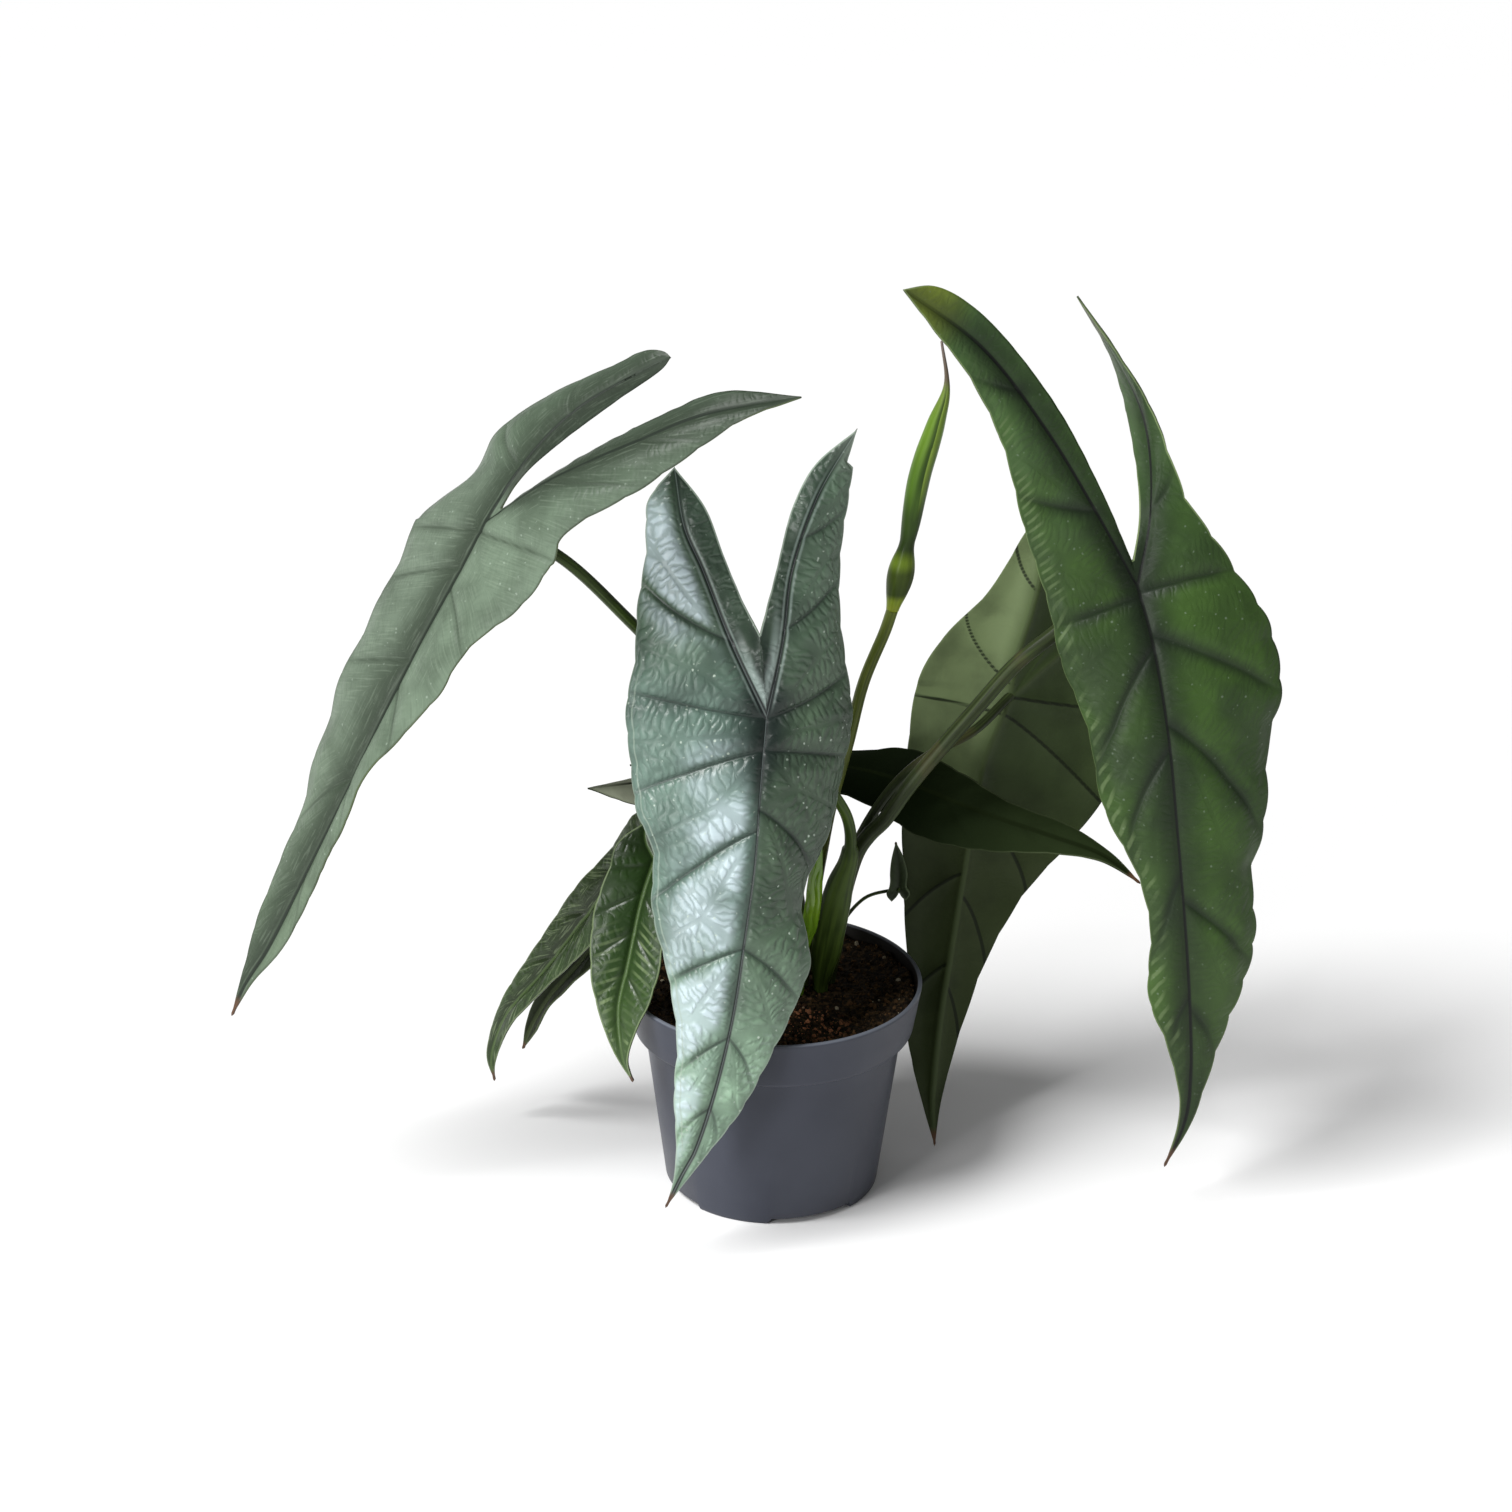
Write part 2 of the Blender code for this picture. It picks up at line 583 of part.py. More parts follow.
def small_leaf(rib, left, right, lobe, spread, faces, swelling, rows=(12, 4)):
    """A small blade whose two short lobes follow from the way its midrib and its margins lie."""
    stalk = vec(rib[0])
    back = unit(stalk - vec(rib[1]))
    across = vec(right[0]) - vec(left[0])
    across = unit(across - back * np.dot(across, back))
    leaf = dict(rib=rib, edge_left=left, edge_right=right, faces=faces, rows=rows, across=NARROW_ACROSS,
                side_veins=rows[0] // 2, lobe_veins=2, waves=rows[0] // 3, phase=0.2,
                full_width=SMALL_FULL_WIDTH * spread, quilt=swelling, camber=swelling, keel=swelling,
                wave=SMALL_WAVE * swelling)
    sinus = stalk + SINUS_DEPTH * lobe * back
    for side, way in (("left", -across), ("right", across)):
        shoulder = vec(leaf["edge_" + side][0])
        tip = stalk + lobe * back + spread * way
        vein_bend = stalk + LOBE_VEIN_BEND[0] * lobe * back + LOBE_VEIN_BEND[1] * spread * way
        outer_bend = tip + LOBE_OUTER_BEND[0] * (shoulder - tip) + LOBE_OUTER_BEND[1] * spread * way
        inner_bend = stalk + LOBE_INNER_BEND[0] * lobe * back + LOBE_INNER_BEND[1] * spread * way
        leaf["vein_" + side] = [stalk, vein_bend, tip]
        leaf["lobe_" + side] = [tip, outer_bend, shoulder]
        leaf["inner_" + side] = [tip, inner_bend, sinus]
    return leaf


LOW_LEFT = small_leaf(
    rib=[(-50, 8, 146), (-57, 12, 139), (-75, 19, 110), (-96, 26, 77), (-111, 32, 55), (-118, 36, 32),
         (-117, 38, 20)],
    left=[(-57, 18, 153), (-67, 22, 136), (-83, 27, 114), (-96, 31, 91), (-113, 36, 60),
          (-120, 38, 33), (-117, 38, 20)],
    right=[(-53, 6, 121), (-64, 9, 108), (-77, 13, 94), (-93, 20, 74), (-109, 28, 52), (-116, 36, 30),
           (-117, 38, 20)],
    lobe=11, spread=5, faces=(-0.7, -0.4, 0.5), swelling=0.8)

SMALL = small_leaf(
    rib=[(-48, -12, 147), (-53, -17, 132), (-58, -26, 109), (-62, -33, 90), (-60, -38, 73), (-56, -38, 61)],
    left=[(-66, -14, 144), (-72, -18, 126), (-73, -27, 104), (-69, -33, 87), (-62, -38, 71),
          (-56, -38, 61)],
    right=[(-40, -22, 140), (-43, -26, 126), (-45, -33, 112), (-48, -38, 100), (-55, -40, 84),
           (-58, -40, 72), (-56, -38, 61)],
    lobe=13, spread=8, faces=(-0.3, -1, 0.3), swelling=0.8)

DARK = small_leaf(
    rib=[(-46, 24, 122), (-60, 28, 106), (-76, 34, 84), (-92, 43, 59), (-101, 50, 41), (-106, 52, 28)],
    left=[(-54, 27, 127), (-66, 31, 109), (-80, 37, 90), (-97, 46, 62), (-104, 51, 42), (-106, 52, 28)],
    right=[(-50, 19, 102), (-63, 23, 91), (-78, 30, 76), (-94, 41, 53), (-101, 48, 37), (-106, 52, 28)],
    lobe=12, spread=6, faces=(-0.7, -0.4, 0.5), swelling=0.7)

TINY = small_leaf(
    rib=[(51, 30, 115), (51, 29, 121), (50, 28, 129), (49, 28, 137)],
    left=[(46, 28, 118), (46, 28, 124), (47, 28, 130), (49, 28, 137)],
    right=[(57, 29, 119), (56, 28, 124), (53, 28, 131), (49, 28, 137)],
    lobe=6, spread=3, faces=(0, -1, 0.4), swelling=0.4, rows=(6, 2))

LEAVES = {
    "front": (FRONT, SILVER_GREEN, WAXY),
    "left": (LEFT, GREY_GREEN, WAXY),
    "right": (RIGHT, MID_GREEN, WAXY),
    "back": (BACK, OLIVE_UNDERSIDE, SMOOTH),
    "flat": (FLAT, DARK_GREEN, SATIN),
    "low_left": (LOW_LEFT, GLOSSY_GREEN, GLOSSY),
    "small": (SMALL, GLOSSY_GREEN, GLOSSY),
    "dark": (DARK, DARK_GREEN, SATIN),
    "tiny": (TINY, MID_GREEN, SATIN),
}


# Stems: the way from the soil to the blade, and the radius at the foot and at the top

STEM_FOOT_GAP = 0.5
STEM_FOOT = SOIL_LEVEL - HOLE_DEPTH + STEM_FOOT_GAP
STEM_UPRIGHT = 3.0

STEMS = {
    "front": ([(19, 2), (21, -1, 103), (23, -3, 117), (26, -6, 135), (29, -9, 147), (29.5, -12, 158),
               (28, -15, 167), (25, -19, 175), (19, -24, 186), (12, -30, 199), (5, -36, 212),
               (-4, -42, 220)], 3.2, 2.0),
    "left": ([(8, -1), (8, 1, 105), (6, 3, 131), (-14, 0, 185), (-38, -8, 224), (-58, -17, 251),
              (-84, -26, 280), (-111, -30, 295)], 2.8, 2.2),
    "right": ([(22, 9.5), (24, 6, 98), (26, 2, 116), (29, 1, 133), (33, 1, 146), (37.5, 1, 153),
               (43, 1, 159), (54, 1, 176), (78, 0, 208), (93, 0, 227), (108, 1, 240), (126, 2, 256),
               (138, -8, 263)], 3.3, 3.0),
    "back": ([(19.5, 16.5), (21.5, 14, 95), (25, 10, 114), (29, 9, 133), (33, 9, 146), (41, 9, 162),
              (51, 10, 175), (62, 11, 184), (78, 19, 190), (94, 40, 197)], 2.3, 1.9),
    "flat": ([(10, 13.5), (11, 16, 108), (6, 22, 136), (-3, 30, 158), (-6, 34, 168)], 2.3, 1.8),
    "low_left": ([(-8, 4), (-20, 4, 115), (-36, 6, 137), (-50, 8, 146)], 1.8, 1.3),
    "small": ([(-6, -8), (-20, -9, 112), (-36, -8, 136), (-48, -12, 147)], 1.8, 1.3),
    "dark": ([(-2, 16), (-14, 18, 106), (-30, 22, 119), (-46, 24, 122)], 1.6, 1.2),
    "tiny": ([(24, 20), (25, 20, 96), (29, 21, 106), (37, 26, 113), (47, 33, 113), (51, 30, 115)],
             0.9, 0.7),
}

# The front stem's foot is a sheath that clasps the others: height, half-width, depth, hollow
SHEATH_SHAPE = ((86, 3.2, 3.2, 0.0), (93, 4.6, 4.2, 0.5), (103, 6.1, 5.0, 1.0), (117, 6.3, 5.0, 1.0),
                (127, 6.1, 5.0, 1.0), (136, 5.3, 4.6, 1.0), (144, 4.1, 3.9, 0.7), (152, 3.3, 3.3, 0.0))
SHEATHED_STEM = "front"
SHEATH_WALL = 1.4
SHEATH_EDGE = 0.8
SHEATH_SIDES = 16
SHEATH_SPACING = 6.5


def radius_between(foot, top, along):
    return foot + (top - foot) * min(1.0, along * STEM_TAPER)


def round_section(foot, top):
    """The section of a plain round stem whose radius goes from the foot's to the top's."""
    def section(along, height):
        radius = radius_between(foot, top, along)
        return radius, radius, 0.0
    return section


def sheath_section(foot, top):
    """The section of a stem whose foot spreads into a gutter between the sheath's heights."""
    heights, widths, depths, hollows = zip(*SHEATH_SHAPE)

    def section(along, height):
        if heights[0] <= height <= heights[-1]:
            return tuple(np.interp(height, heights, column) for column in (widths, depths, hollows))
        return round_section(foot, top)(along, height)
    return section


def rooted(points):
    """The way of a stem that rises upright out of its hole in the soil."""
    place = points[0]
    return [(*place, STEM_FOOT), (*place, SOIL_LEVEL + STEM_UPRIGHT)] + list(points[1:])


def make_stem(name, blade):
    points, foot, top = STEMS[name]
    way = rooted(points)
    sheathed = name == SHEATHED_STEM
    spacing = SHEATH_SPACING if sheathed else STEM_SPACING
    sides = SHEATH_SIDES if sheathed else STEM_SIDES
    section = sheath_section(foot, top) if sheathed else round_section(foot, top)
    length = np.linalg.norm(np.diff(curve_points(way), axis=0), axis=1).sum()
    path = even(way, max(STEM_FEWEST_ROWS, int(length / spacing)))
    make_tube("stem_" + name, path, section, STEM_OLIVE, SMOOTH, sides, blade)


# The rolled leaf: its stem, then a spear with a bulge at its foot

ROLLED_STEM = [(12, 6), (15, 8, 103), (16.5, 8, 125), (19, 8, 143), (21.5, 8, 159), (24.5, 8, 173),
               (28.5, 8, 190), (34, 9, 215), (42, 9, 237), (44.5, 8, 246)]
ROLLED_STEM_ROWS = 16
ROLLED_FOOT_RADIUS = 2.2
ROLLED_TOP_RADIUS = 2.3
ROLLED_SPEAR = [(44.5, 8, 247), (47.5, 7, 262), (50, 6, 278), (53.5, 3, 303), (59, 0, 325),
                (62.5, -3, 341), (60, -5, 359)]
SPEAR_ROWS = 32
SPEAR_SIDES = 10

# The spear's radius at each share of its length: a fat bulb, a neck, the rolled blade and its thin tail
SPEAR_SHAPE = ((0.0, 2.3), (0.02, 2.8), (0.07, 4.4), (0.13, 5.5), (0.19, 4.5), (0.235, 2.7), (0.28, 3.2),
               (0.34, 3.8), (0.46, 4.3), (0.6, 4.2), (0.7, 3.5), (0.78, 2.3), (0.84, 1.2), (0.88, 0.8),
               (1.0, 0.5))


def spear_section(along, height):
    """The rolled leaf's round section: a bulb at its foot, a slim body and a thin tail."""
    shares, radii = zip(*SPEAR_SHAPE)
    radius = float(np.interp(along, shares, radii))
    return radius, radius, 0.0


def make_rolled_leaf():
    stem = even(rooted(ROLLED_STEM), ROLLED_STEM_ROWS)
    section = round_section(ROLLED_FOOT_RADIUS, ROLLED_TOP_RADIUS)
    make_tube("stem_rolled", stem, section, STEM_OLIVE, SMOOTH)
    top = stem[-1]
    start = vec(ROLLED_SPEAR[0])
    lift = unit(start - top) * 2 * GAP
    spear = [tuple(top + lift)] + ROLLED_SPEAR[1:]
    make_tube("leaf_rolled", even(spear, SPEAR_ROWS), spear_section, SPEAR_GREEN, SATIN, SPEAR_SIDES)


# The membrane in front of the sheath, at the crown

BRACT = [(9, -5, SOIL_LEVEL + GAP), (10.7, -7, 106), (13.6, -8.5, 116), (15, -10, 126), (15.7, -11, 134),
         (16.2, -12, 143), (17.2, -13, 155)]
BRACT_WIDTH = 7.0
BRACT_FOOT_SHARE = 0.75
BRACT_POINTING = 0.95
BRACT_CURL = 0.16
BRACT_ROWS = 9
BRACT_COLUMNS = (-1.0, -0.5, 0.0, 0.5, 1.0)


def make_bract():
    path = even(BRACT, BRACT_ROWS)
    sheet = Sheet()
    rows = []
    for i, centre in enumerate(path):
        along = i / BRACT_ROWS
        half = BRACT_WIDTH / 2 * min(1.0, BRACT_FOOT_SHARE + along) * sqrt(1 - BRACT_POINTING * along ** 3)
        row = []
        for across in BRACT_COLUMNS:
            point = centre + vec((across * half, BRACT_CURL * (half * across) ** 2, 0))
            row.append(sheet.vertex(point))
        rows.append(row)
    sheet.rows(rows, False)
    points = np.array(sheet.points)
    faces = np.array(sheet.faces)
    normals = sheet_normals(points, faces)
    normals[:, 2] = 0
    normals = normals / np.linalg.norm(normals, axis=1, keepdims=True)
    vertices, solid = thicken(points, faces, normals, np.zeros(len(points)))
    make_object("crown_bract", vertices, outward(vertices, solid), BRACT_GREEN, SMOOTH, LEAF_SHARP_ANGLE)


# Pot and soil

def pot_outer_radius(height):
    foot = POT_FOOT_RADIUS
    top = POT_RIM_RADIUS - SKIRT_TAPER - SKIRT_STEP
    return foot + (top - foot) * height / (POT_HEIGHT - SKIRT_HEIGHT)


def lathe(profile, sides, lift=None):
    """Turn a profile that starts and ends on the axis. lift(radius, height, turn) moves points up."""
    vertices = []
    for radius, height in profile:
        if radius == 0:
            vertices.append(vec((0, 0, height)))
            continue
        for i in range(sides):
            turn = 2 * pi * i / sides
            raised = lift(radius, height, turn) if lift else 0.0
            vertices.append(vec((radius * cos(turn), radius * sin(turn), height + raised)))
    faces = []
    index = 0
    for (radius, _), (following, _) in zip(profile, profile[1:]):
        step = 1 if radius == 0 else sides
        for i in range(sides):
            j = (i + 1) % sides
            if radius == 0:
                faces.append((index, index + step + i, index + step + j))
            elif following == 0:
                faces.append((index + i, index + step, index + j))
            else:
                faces.append((index + i, index + step + i, index + step + j, index + j))
        index += step
    return vertices, outward(vertices, faces)


def notch_lift(radius, height, turn):
    if height > 0 or radius < NOTCH_INNER_RADIUS:
        return 0.0
    spacing = 360 / NOTCH_COUNT
    from_centre = abs((turn * 180 / pi - NOTCH_TURN + spacing / 2) % spacing - spacing / 2)
    return NOTCH_DEPTH if from_centre <= NOTCH_SWEEP / 2 else 0.0


def make_pot():
    ledge = POT_HEIGHT - SKIRT_HEIGHT
    body_top = pot_outer_radius(ledge)
    skirt_low = POT_RIM_RADIUS - SKIRT_TAPER
    floor_radius = pot_outer_radius(POT_FLOOR + NOTCH_DEPTH) - POT_WALL
    raised_floor = POT_FLOOR + NOTCH_DEPTH
    foot_top = NOTCH_DEPTH + FOOT_RISE
    outside = [
        (0, 0), (NOTCH_INNER_RADIUS - NOTCH_SLOPE, 0), (NOTCH_INNER_RADIUS, 0),
        (POT_FOOT_RADIUS - FOOT_CHAMFER, 0), (pot_outer_radius(foot_top), foot_top), (body_top, ledge),
        (skirt_low, ledge + LEDGE_RISE), (skirt_low, ledge + 2 * LEDGE_RISE),
        (POT_RIM_RADIUS, POT_HEIGHT - RIM_ROUND[1]), (POT_RIM_RADIUS - RIM_ROUND[0], POT_HEIGHT)]
    inside = [
        (POT_RIM_RADIUS - POT_WALL - RIM_THICKER, POT_HEIGHT),
        (skirt_low - POT_WALL, ledge + LEDGE_INNER_TOP), (body_top - POT_WALL, ledge + LEDGE_INNER_LOW),
        (floor_radius, raised_floor), (NOTCH_INNER_RADIUS - FLOOR_STEP[0], raised_floor),
        (NOTCH_INNER_RADIUS - FLOOR_STEP[1], POT_FLOOR), (0, POT_FLOOR)]
    vertices, faces = lathe(outside + inside, POT_SIDES, notch_lift)
    pot = make_object("pot", vertices, faces, POT_GREY, SMOOTH, POT_SHARP_ANGLE)
    drains = []
    for i in range(DRAIN_COUNT):
        turn = radians(DRAIN_TURN) + 2 * pi * i / DRAIN_COUNT
        centre = (DRAIN_CIRCLE * cos(turn), DRAIN_CIRCLE * sin(turn))
        drains.append(cylinder(centre, DRAIN_RADIUS, -CUTTER_REACH, POT_FLOOR + CUTTER_REACH, DRAIN_SIDES))
    cut(pot, drains)
    pot.data.shade_smooth()
    pot.data.set_sharp_from_angle(angle=radians(POT_SHARP_ANGLE))


def soil_lift(radius, height, turn):
    """Low mounds on the soil, with level ground round the crown."""
    if height < SOIL_LEVEL - 0.01:
        return 0.0
    x = radius * cos(turn)
    y = radius * sin(turn)
    from_crown = sqrt((x - SOIL_CROWN[0]) ** 2 + (y - SOIL_CROWN[1]) ** 2)
    fade = min(1.0, max(0.0, (from_crown - SOIL_FLAT_RADIUS) / SOIL_FLAT_FADE))
    return fade * SOIL_LUMP * sum(share * sin(a * x + b * y + phase) for share, a, b, phase in SOIL_WAVES)


def make_soil():
    ledge = POT_HEIGHT - SKIRT_HEIGHT
    body_top = pot_outer_radius(ledge) - POT_WALL - SOIL_SIDE_GAP
    foot = pot_outer_radius(POT_FLOOR + NOTCH_DEPTH) - POT_WALL - SOIL_SIDE_GAP
    skirt = POT_RIM_RADIUS - SKIRT_TAPER - POT_WALL - SOIL_SIDE_GAP
    low = POT_FLOOR + GAP
    raised = low + NOTCH_DEPTH
    profile = [
        (0, low), (NOTCH_INNER_RADIUS - SOIL_STEP[0], low), (NOTCH_INNER_RADIUS - SOIL_STEP[1], raised),
        (foot, raised), (body_top, ledge + SOIL_LEDGE_LOW), (skirt, ledge + SOIL_LEDGE_TOP),
        (skirt + SOIL_SPREAD, SOIL_LEVEL - SOIL_EDGE_DROP)]
    for ring in range(SOIL_RINGS):
        profile.append((skirt * (1 - (ring + SOIL_RING_OFFSET) / SOIL_RINGS), SOIL_LEVEL))
    profile.append((0, SOIL_LEVEL))
    vertices, faces = lathe(profile, SOIL_SIDES, soil_lift)
    soil = make_object("soil", vertices, faces, SOIL_BROWN, LOOSE)
    feet = [(points[0], foot_radius) for points, foot_radius, _ in STEMS.values()]
    feet.append((ROLLED_STEM[0], ROLLED_FOOT_RADIUS))
    holes = []
    for place, foot_radius in feet:
        radius = foot_radius + HOLE_CLEARANCE
        holes.append(cylinder(place, radius, SOIL_LEVEL - HOLE_DEPTH, SOIL_LEVEL + HOLE_ABOVE, HOLE_SIDES))
    cut(soil, holes)


def main():
    for obj in list(bpy.data.objects):
        bpy.data.objects.remove(obj)
    make_pot()
    make_soil()
    make_bract()
    for name, (leaf, colour, roughness) in LEAVES.items():
        blade = make_leaf("leaf_" + name, leaf, colour, roughness)
        make_stem(name, blade)
    make_rolled_leaf()


main()
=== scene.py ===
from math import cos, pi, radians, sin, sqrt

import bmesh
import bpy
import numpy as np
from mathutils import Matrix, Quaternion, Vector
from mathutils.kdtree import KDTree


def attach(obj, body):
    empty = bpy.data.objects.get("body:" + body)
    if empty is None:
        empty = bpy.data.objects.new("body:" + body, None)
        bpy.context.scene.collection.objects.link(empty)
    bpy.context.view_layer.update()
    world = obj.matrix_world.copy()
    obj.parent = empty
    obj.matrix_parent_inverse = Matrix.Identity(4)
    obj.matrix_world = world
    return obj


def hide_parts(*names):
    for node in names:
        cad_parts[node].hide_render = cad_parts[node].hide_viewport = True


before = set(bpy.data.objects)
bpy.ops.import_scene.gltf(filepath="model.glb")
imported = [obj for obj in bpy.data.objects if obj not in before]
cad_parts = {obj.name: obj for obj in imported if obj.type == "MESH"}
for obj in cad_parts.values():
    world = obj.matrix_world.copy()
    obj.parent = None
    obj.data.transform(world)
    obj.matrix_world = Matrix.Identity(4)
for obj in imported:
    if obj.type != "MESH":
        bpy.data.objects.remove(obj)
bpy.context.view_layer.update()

# %% [markdown]
# # A potted alocasia, from a photograph
#
# The plant is a crown of long stalks in a round nursery pot. Each stalk carries one arrow-shaped blade
# with a sunken midrib, side veins that swell the skin between them, and a fine raised net.
# The CAD model of it is loaded as the frame above. It fixes where every piece is. This script makes the
# finer pieces that are seen, in millimetres, in the same places.

MM = 0.001

# %% [markdown]
# ## The camera
# A picture of a pot gives its own camera away: the rim and the foot are circles of known size, and their
# ellipses say how far above them the lens was. The camera below comes from such a fit. It stands 1.5 m
# away, looks down by 23 degrees and is rolled by half a degree. The lens is given by its focal length in
# pixels, so it is turned into millimetres on Blender's 36 mm sensor.

# %% The camera
FRAME_PIXELS = 1512
FOCAL_PIXELS = 3805.5
SENSOR = 36.0
CAMERA_DISTANCE = 1500.0
CAMERA_TARGET = Vector((-8.11, 0.0, 186.79))
CAMERA_ELEVATION = radians(23.39)
CAMERA_ROLL = radians(0.56)

lens = bpy.data.cameras.new("camera")
lens.sensor_width = SENSOR
lens.lens = SENSOR * FOCAL_PIXELS / FRAME_PIXELS
lens.clip_start = 0.1
lens.clip_end = 100
camera = bpy.data.objects.new("camera", lens)
bpy.context.scene.collection.objects.link(camera)
bpy.context.scene.camera = camera
backwards = Vector((0, -cos(CAMERA_ELEVATION), sin(CAMERA_ELEVATION)))
camera.location = (CAMERA_TARGET + backwards * CAMERA_DISTANCE) * MM
camera.rotation_mode = "QUATERNION"
camera.rotation_quaternion = (-backwards).to_track_quat("-Z", "Y") @ Quaternion((0, 0, 1), CAMERA_ROLL)
print("lens in mm:", round(lens.lens, 2))

# %% [markdown]
# ## Nodes with less typing
# Materials and Geometry Nodes are both trees of nodes. These small helpers add a node, fill its inputs by
# number or name, and link an input where it is given another node's output. The same helpers build both
# kinds of tree, so the net of fine veins can be drawn by one function, once as relief and once as colour.

# %% Helpers that add nodes
def fill(tree, node, inputs):
    """Link each input that is given another node's output, and set the others."""
    for key, value in inputs.items():
        if isinstance(value, bpy.types.NodeSocket):
            tree.links.new(value, node.inputs[key])
        else:
            node.inputs[key].default_value = value


def add(tree, kind, inputs=None, **settings):
    made = tree.nodes.new(kind)
    for key, value in settings.items():
        setattr(made, key, value)
    fill(tree, made, inputs or {})
    return made


def calc(tree, operation, *values, clamp=False):
    """One step of arithmetic."""
    made = add(tree, "ShaderNodeMath", dict(enumerate(values)), operation=operation, use_clamp=clamp)
    return made.outputs[0]


def smooth(tree, value, low, high, out_low=0.0, out_high=1.0):
    """A soft step from out_low to out_high while the value goes from low to high."""
    inputs = {"Value": value, "From Min": low, "From Max": high, "To Min": out_low, "To Max": out_high}
    return add(tree, "ShaderNodeMapRange", inputs, interpolation_type="SMOOTHSTEP").outputs["Result"]


def near(tree, value, low, high, most=1.0):
    """A soft step down: most below low, nothing above high."""
    return smooth(tree, value, low, high, most, 0.0)


def times(tree, *shares):
    product = shares[0]
    for share in shares[1:]:
        product = calc(tree, "MULTIPLY", product, share)
    return product


def mix(tree, share, a, b, blend="MIX"):
    """A colour between a and b."""
    return add(tree, "ShaderNodeMix", {0: share, 6: a, 7: b}, data_type="RGBA", blend_type=blend).outputs[2]


def axis(tree, vector, number):
    """One of the three numbers of a vector."""
    return add(tree, "ShaderNodeSeparateXYZ", {0: vector}).outputs[number]


def stretch(tree, vector, factors, offset=(0, 0, 0)):
    """A vector multiplied and moved."""
    inputs = {0: vector, 1: factors, 2: offset}
    return add(tree, "ShaderNodeVectorMath", inputs, operation="MULTIPLY_ADD").outputs[0]


def noise(tree, vector, scale, detail=3.0, roughness=0.5):
    inputs = {"Vector": vector, "Scale": scale, "Detail": detail, "Roughness": roughness}
    return add(tree, "ShaderNodeTexNoise", inputs).outputs[0]


def rgb(red, green, blue):
    """A colour as the eye sees it, given from 0 to 255, as the light values that Blender wants."""
    parts = [c / 255 for c in (red, green, blue)]
    return (*[c / 12.92 if c <= 0.04045 else ((c + 0.055) / 1.055) ** 2.4 for c in parts], 1.0)


print("a middle grey as light:", round(rgb(128, 128, 128)[0], 3))

# %% [markdown]
# ## Smooth paths
# Every form here is carried by a few measured points. A centripetal Catmull-Rom curve goes through them
# without the loops that a plain one makes where points lie close together. Points spaced evenly along it
# then become the rows of a mesh.

# %% Paths through points
SPAN_SAMPLES = 16


def vec(point):
    return np.array(point, dtype=float)


def unit(v):
    return v / max(np.linalg.norm(v), 1e-9)


def curve_points(points):
    p = [vec(q) for q in points]
    p = [2 * p[0] - p[1]] + p + [2 * p[-1] - p[-2]]
    dense = []
    for a, b, c, d in zip(p, p[1:], p[2:], p[3:]):
        k1 = max(np.linalg.norm(b - a), 1e-6) ** 0.5
        k2 = k1 + max(np.linalg.norm(c - b), 1e-6) ** 0.5
        k3 = k2 + max(np.linalg.norm(d - c), 1e-6) ** 0.5
        for i in range(SPAN_SAMPLES):
            k = k1 + (k2 - k1) * i / SPAN_SAMPLES
            ab = ((k1 - k) * a + k * b) / k1
            bc = ((k2 - k) * b + (k - k1) * c) / (k2 - k1)
            cd = ((k3 - k) * c + (k - k2) * d) / (k3 - k2)
            abc = ((k2 - k) * ab + k * bc) / k2
            bcd = ((k3 - k) * bc + (k - k1) * cd) / (k3 - k1)
            dense.append(((k2 - k) * abc + (k - k1) * bcd) / (k2 - k1))
    dense.append(p[-2])
    return np.array(dense)


def lengths(dense):
    """The way from a path's start to each of its points."""
    return np.concatenate([[0.0], np.cumsum(np.linalg.norm(np.diff(dense, axis=0), axis=1))])


def resample(dense, rows):
    far = lengths(dense)
    wanted = np.linspace(0, far[-1], rows + 1)
    return np.stack([np.interp(wanted, far, dense[:, axis]) for axis in range(3)], axis=1)


def even(points, rows):
    return resample(curve_points(points), rows)


print("a curve through 3 points has", len(curve_points([(0, 0, 0), (1, 1, 0), (2, 0, 0)])), "points")

# %% [markdown]
# ## The leaves' outlines
# One leaf is eight short lists of points: the midrib, the two basal veins that run into the lobes, the
# lobes' outer and inner edges, and the blade's two edges. They are the ones that the CAD model has.
# The side veins are pairs of shares: where the vein leaves the midrib and where it meets the margin.
# 0 is the stalk, 1 the drip tip and -1 the tip of a lobe.

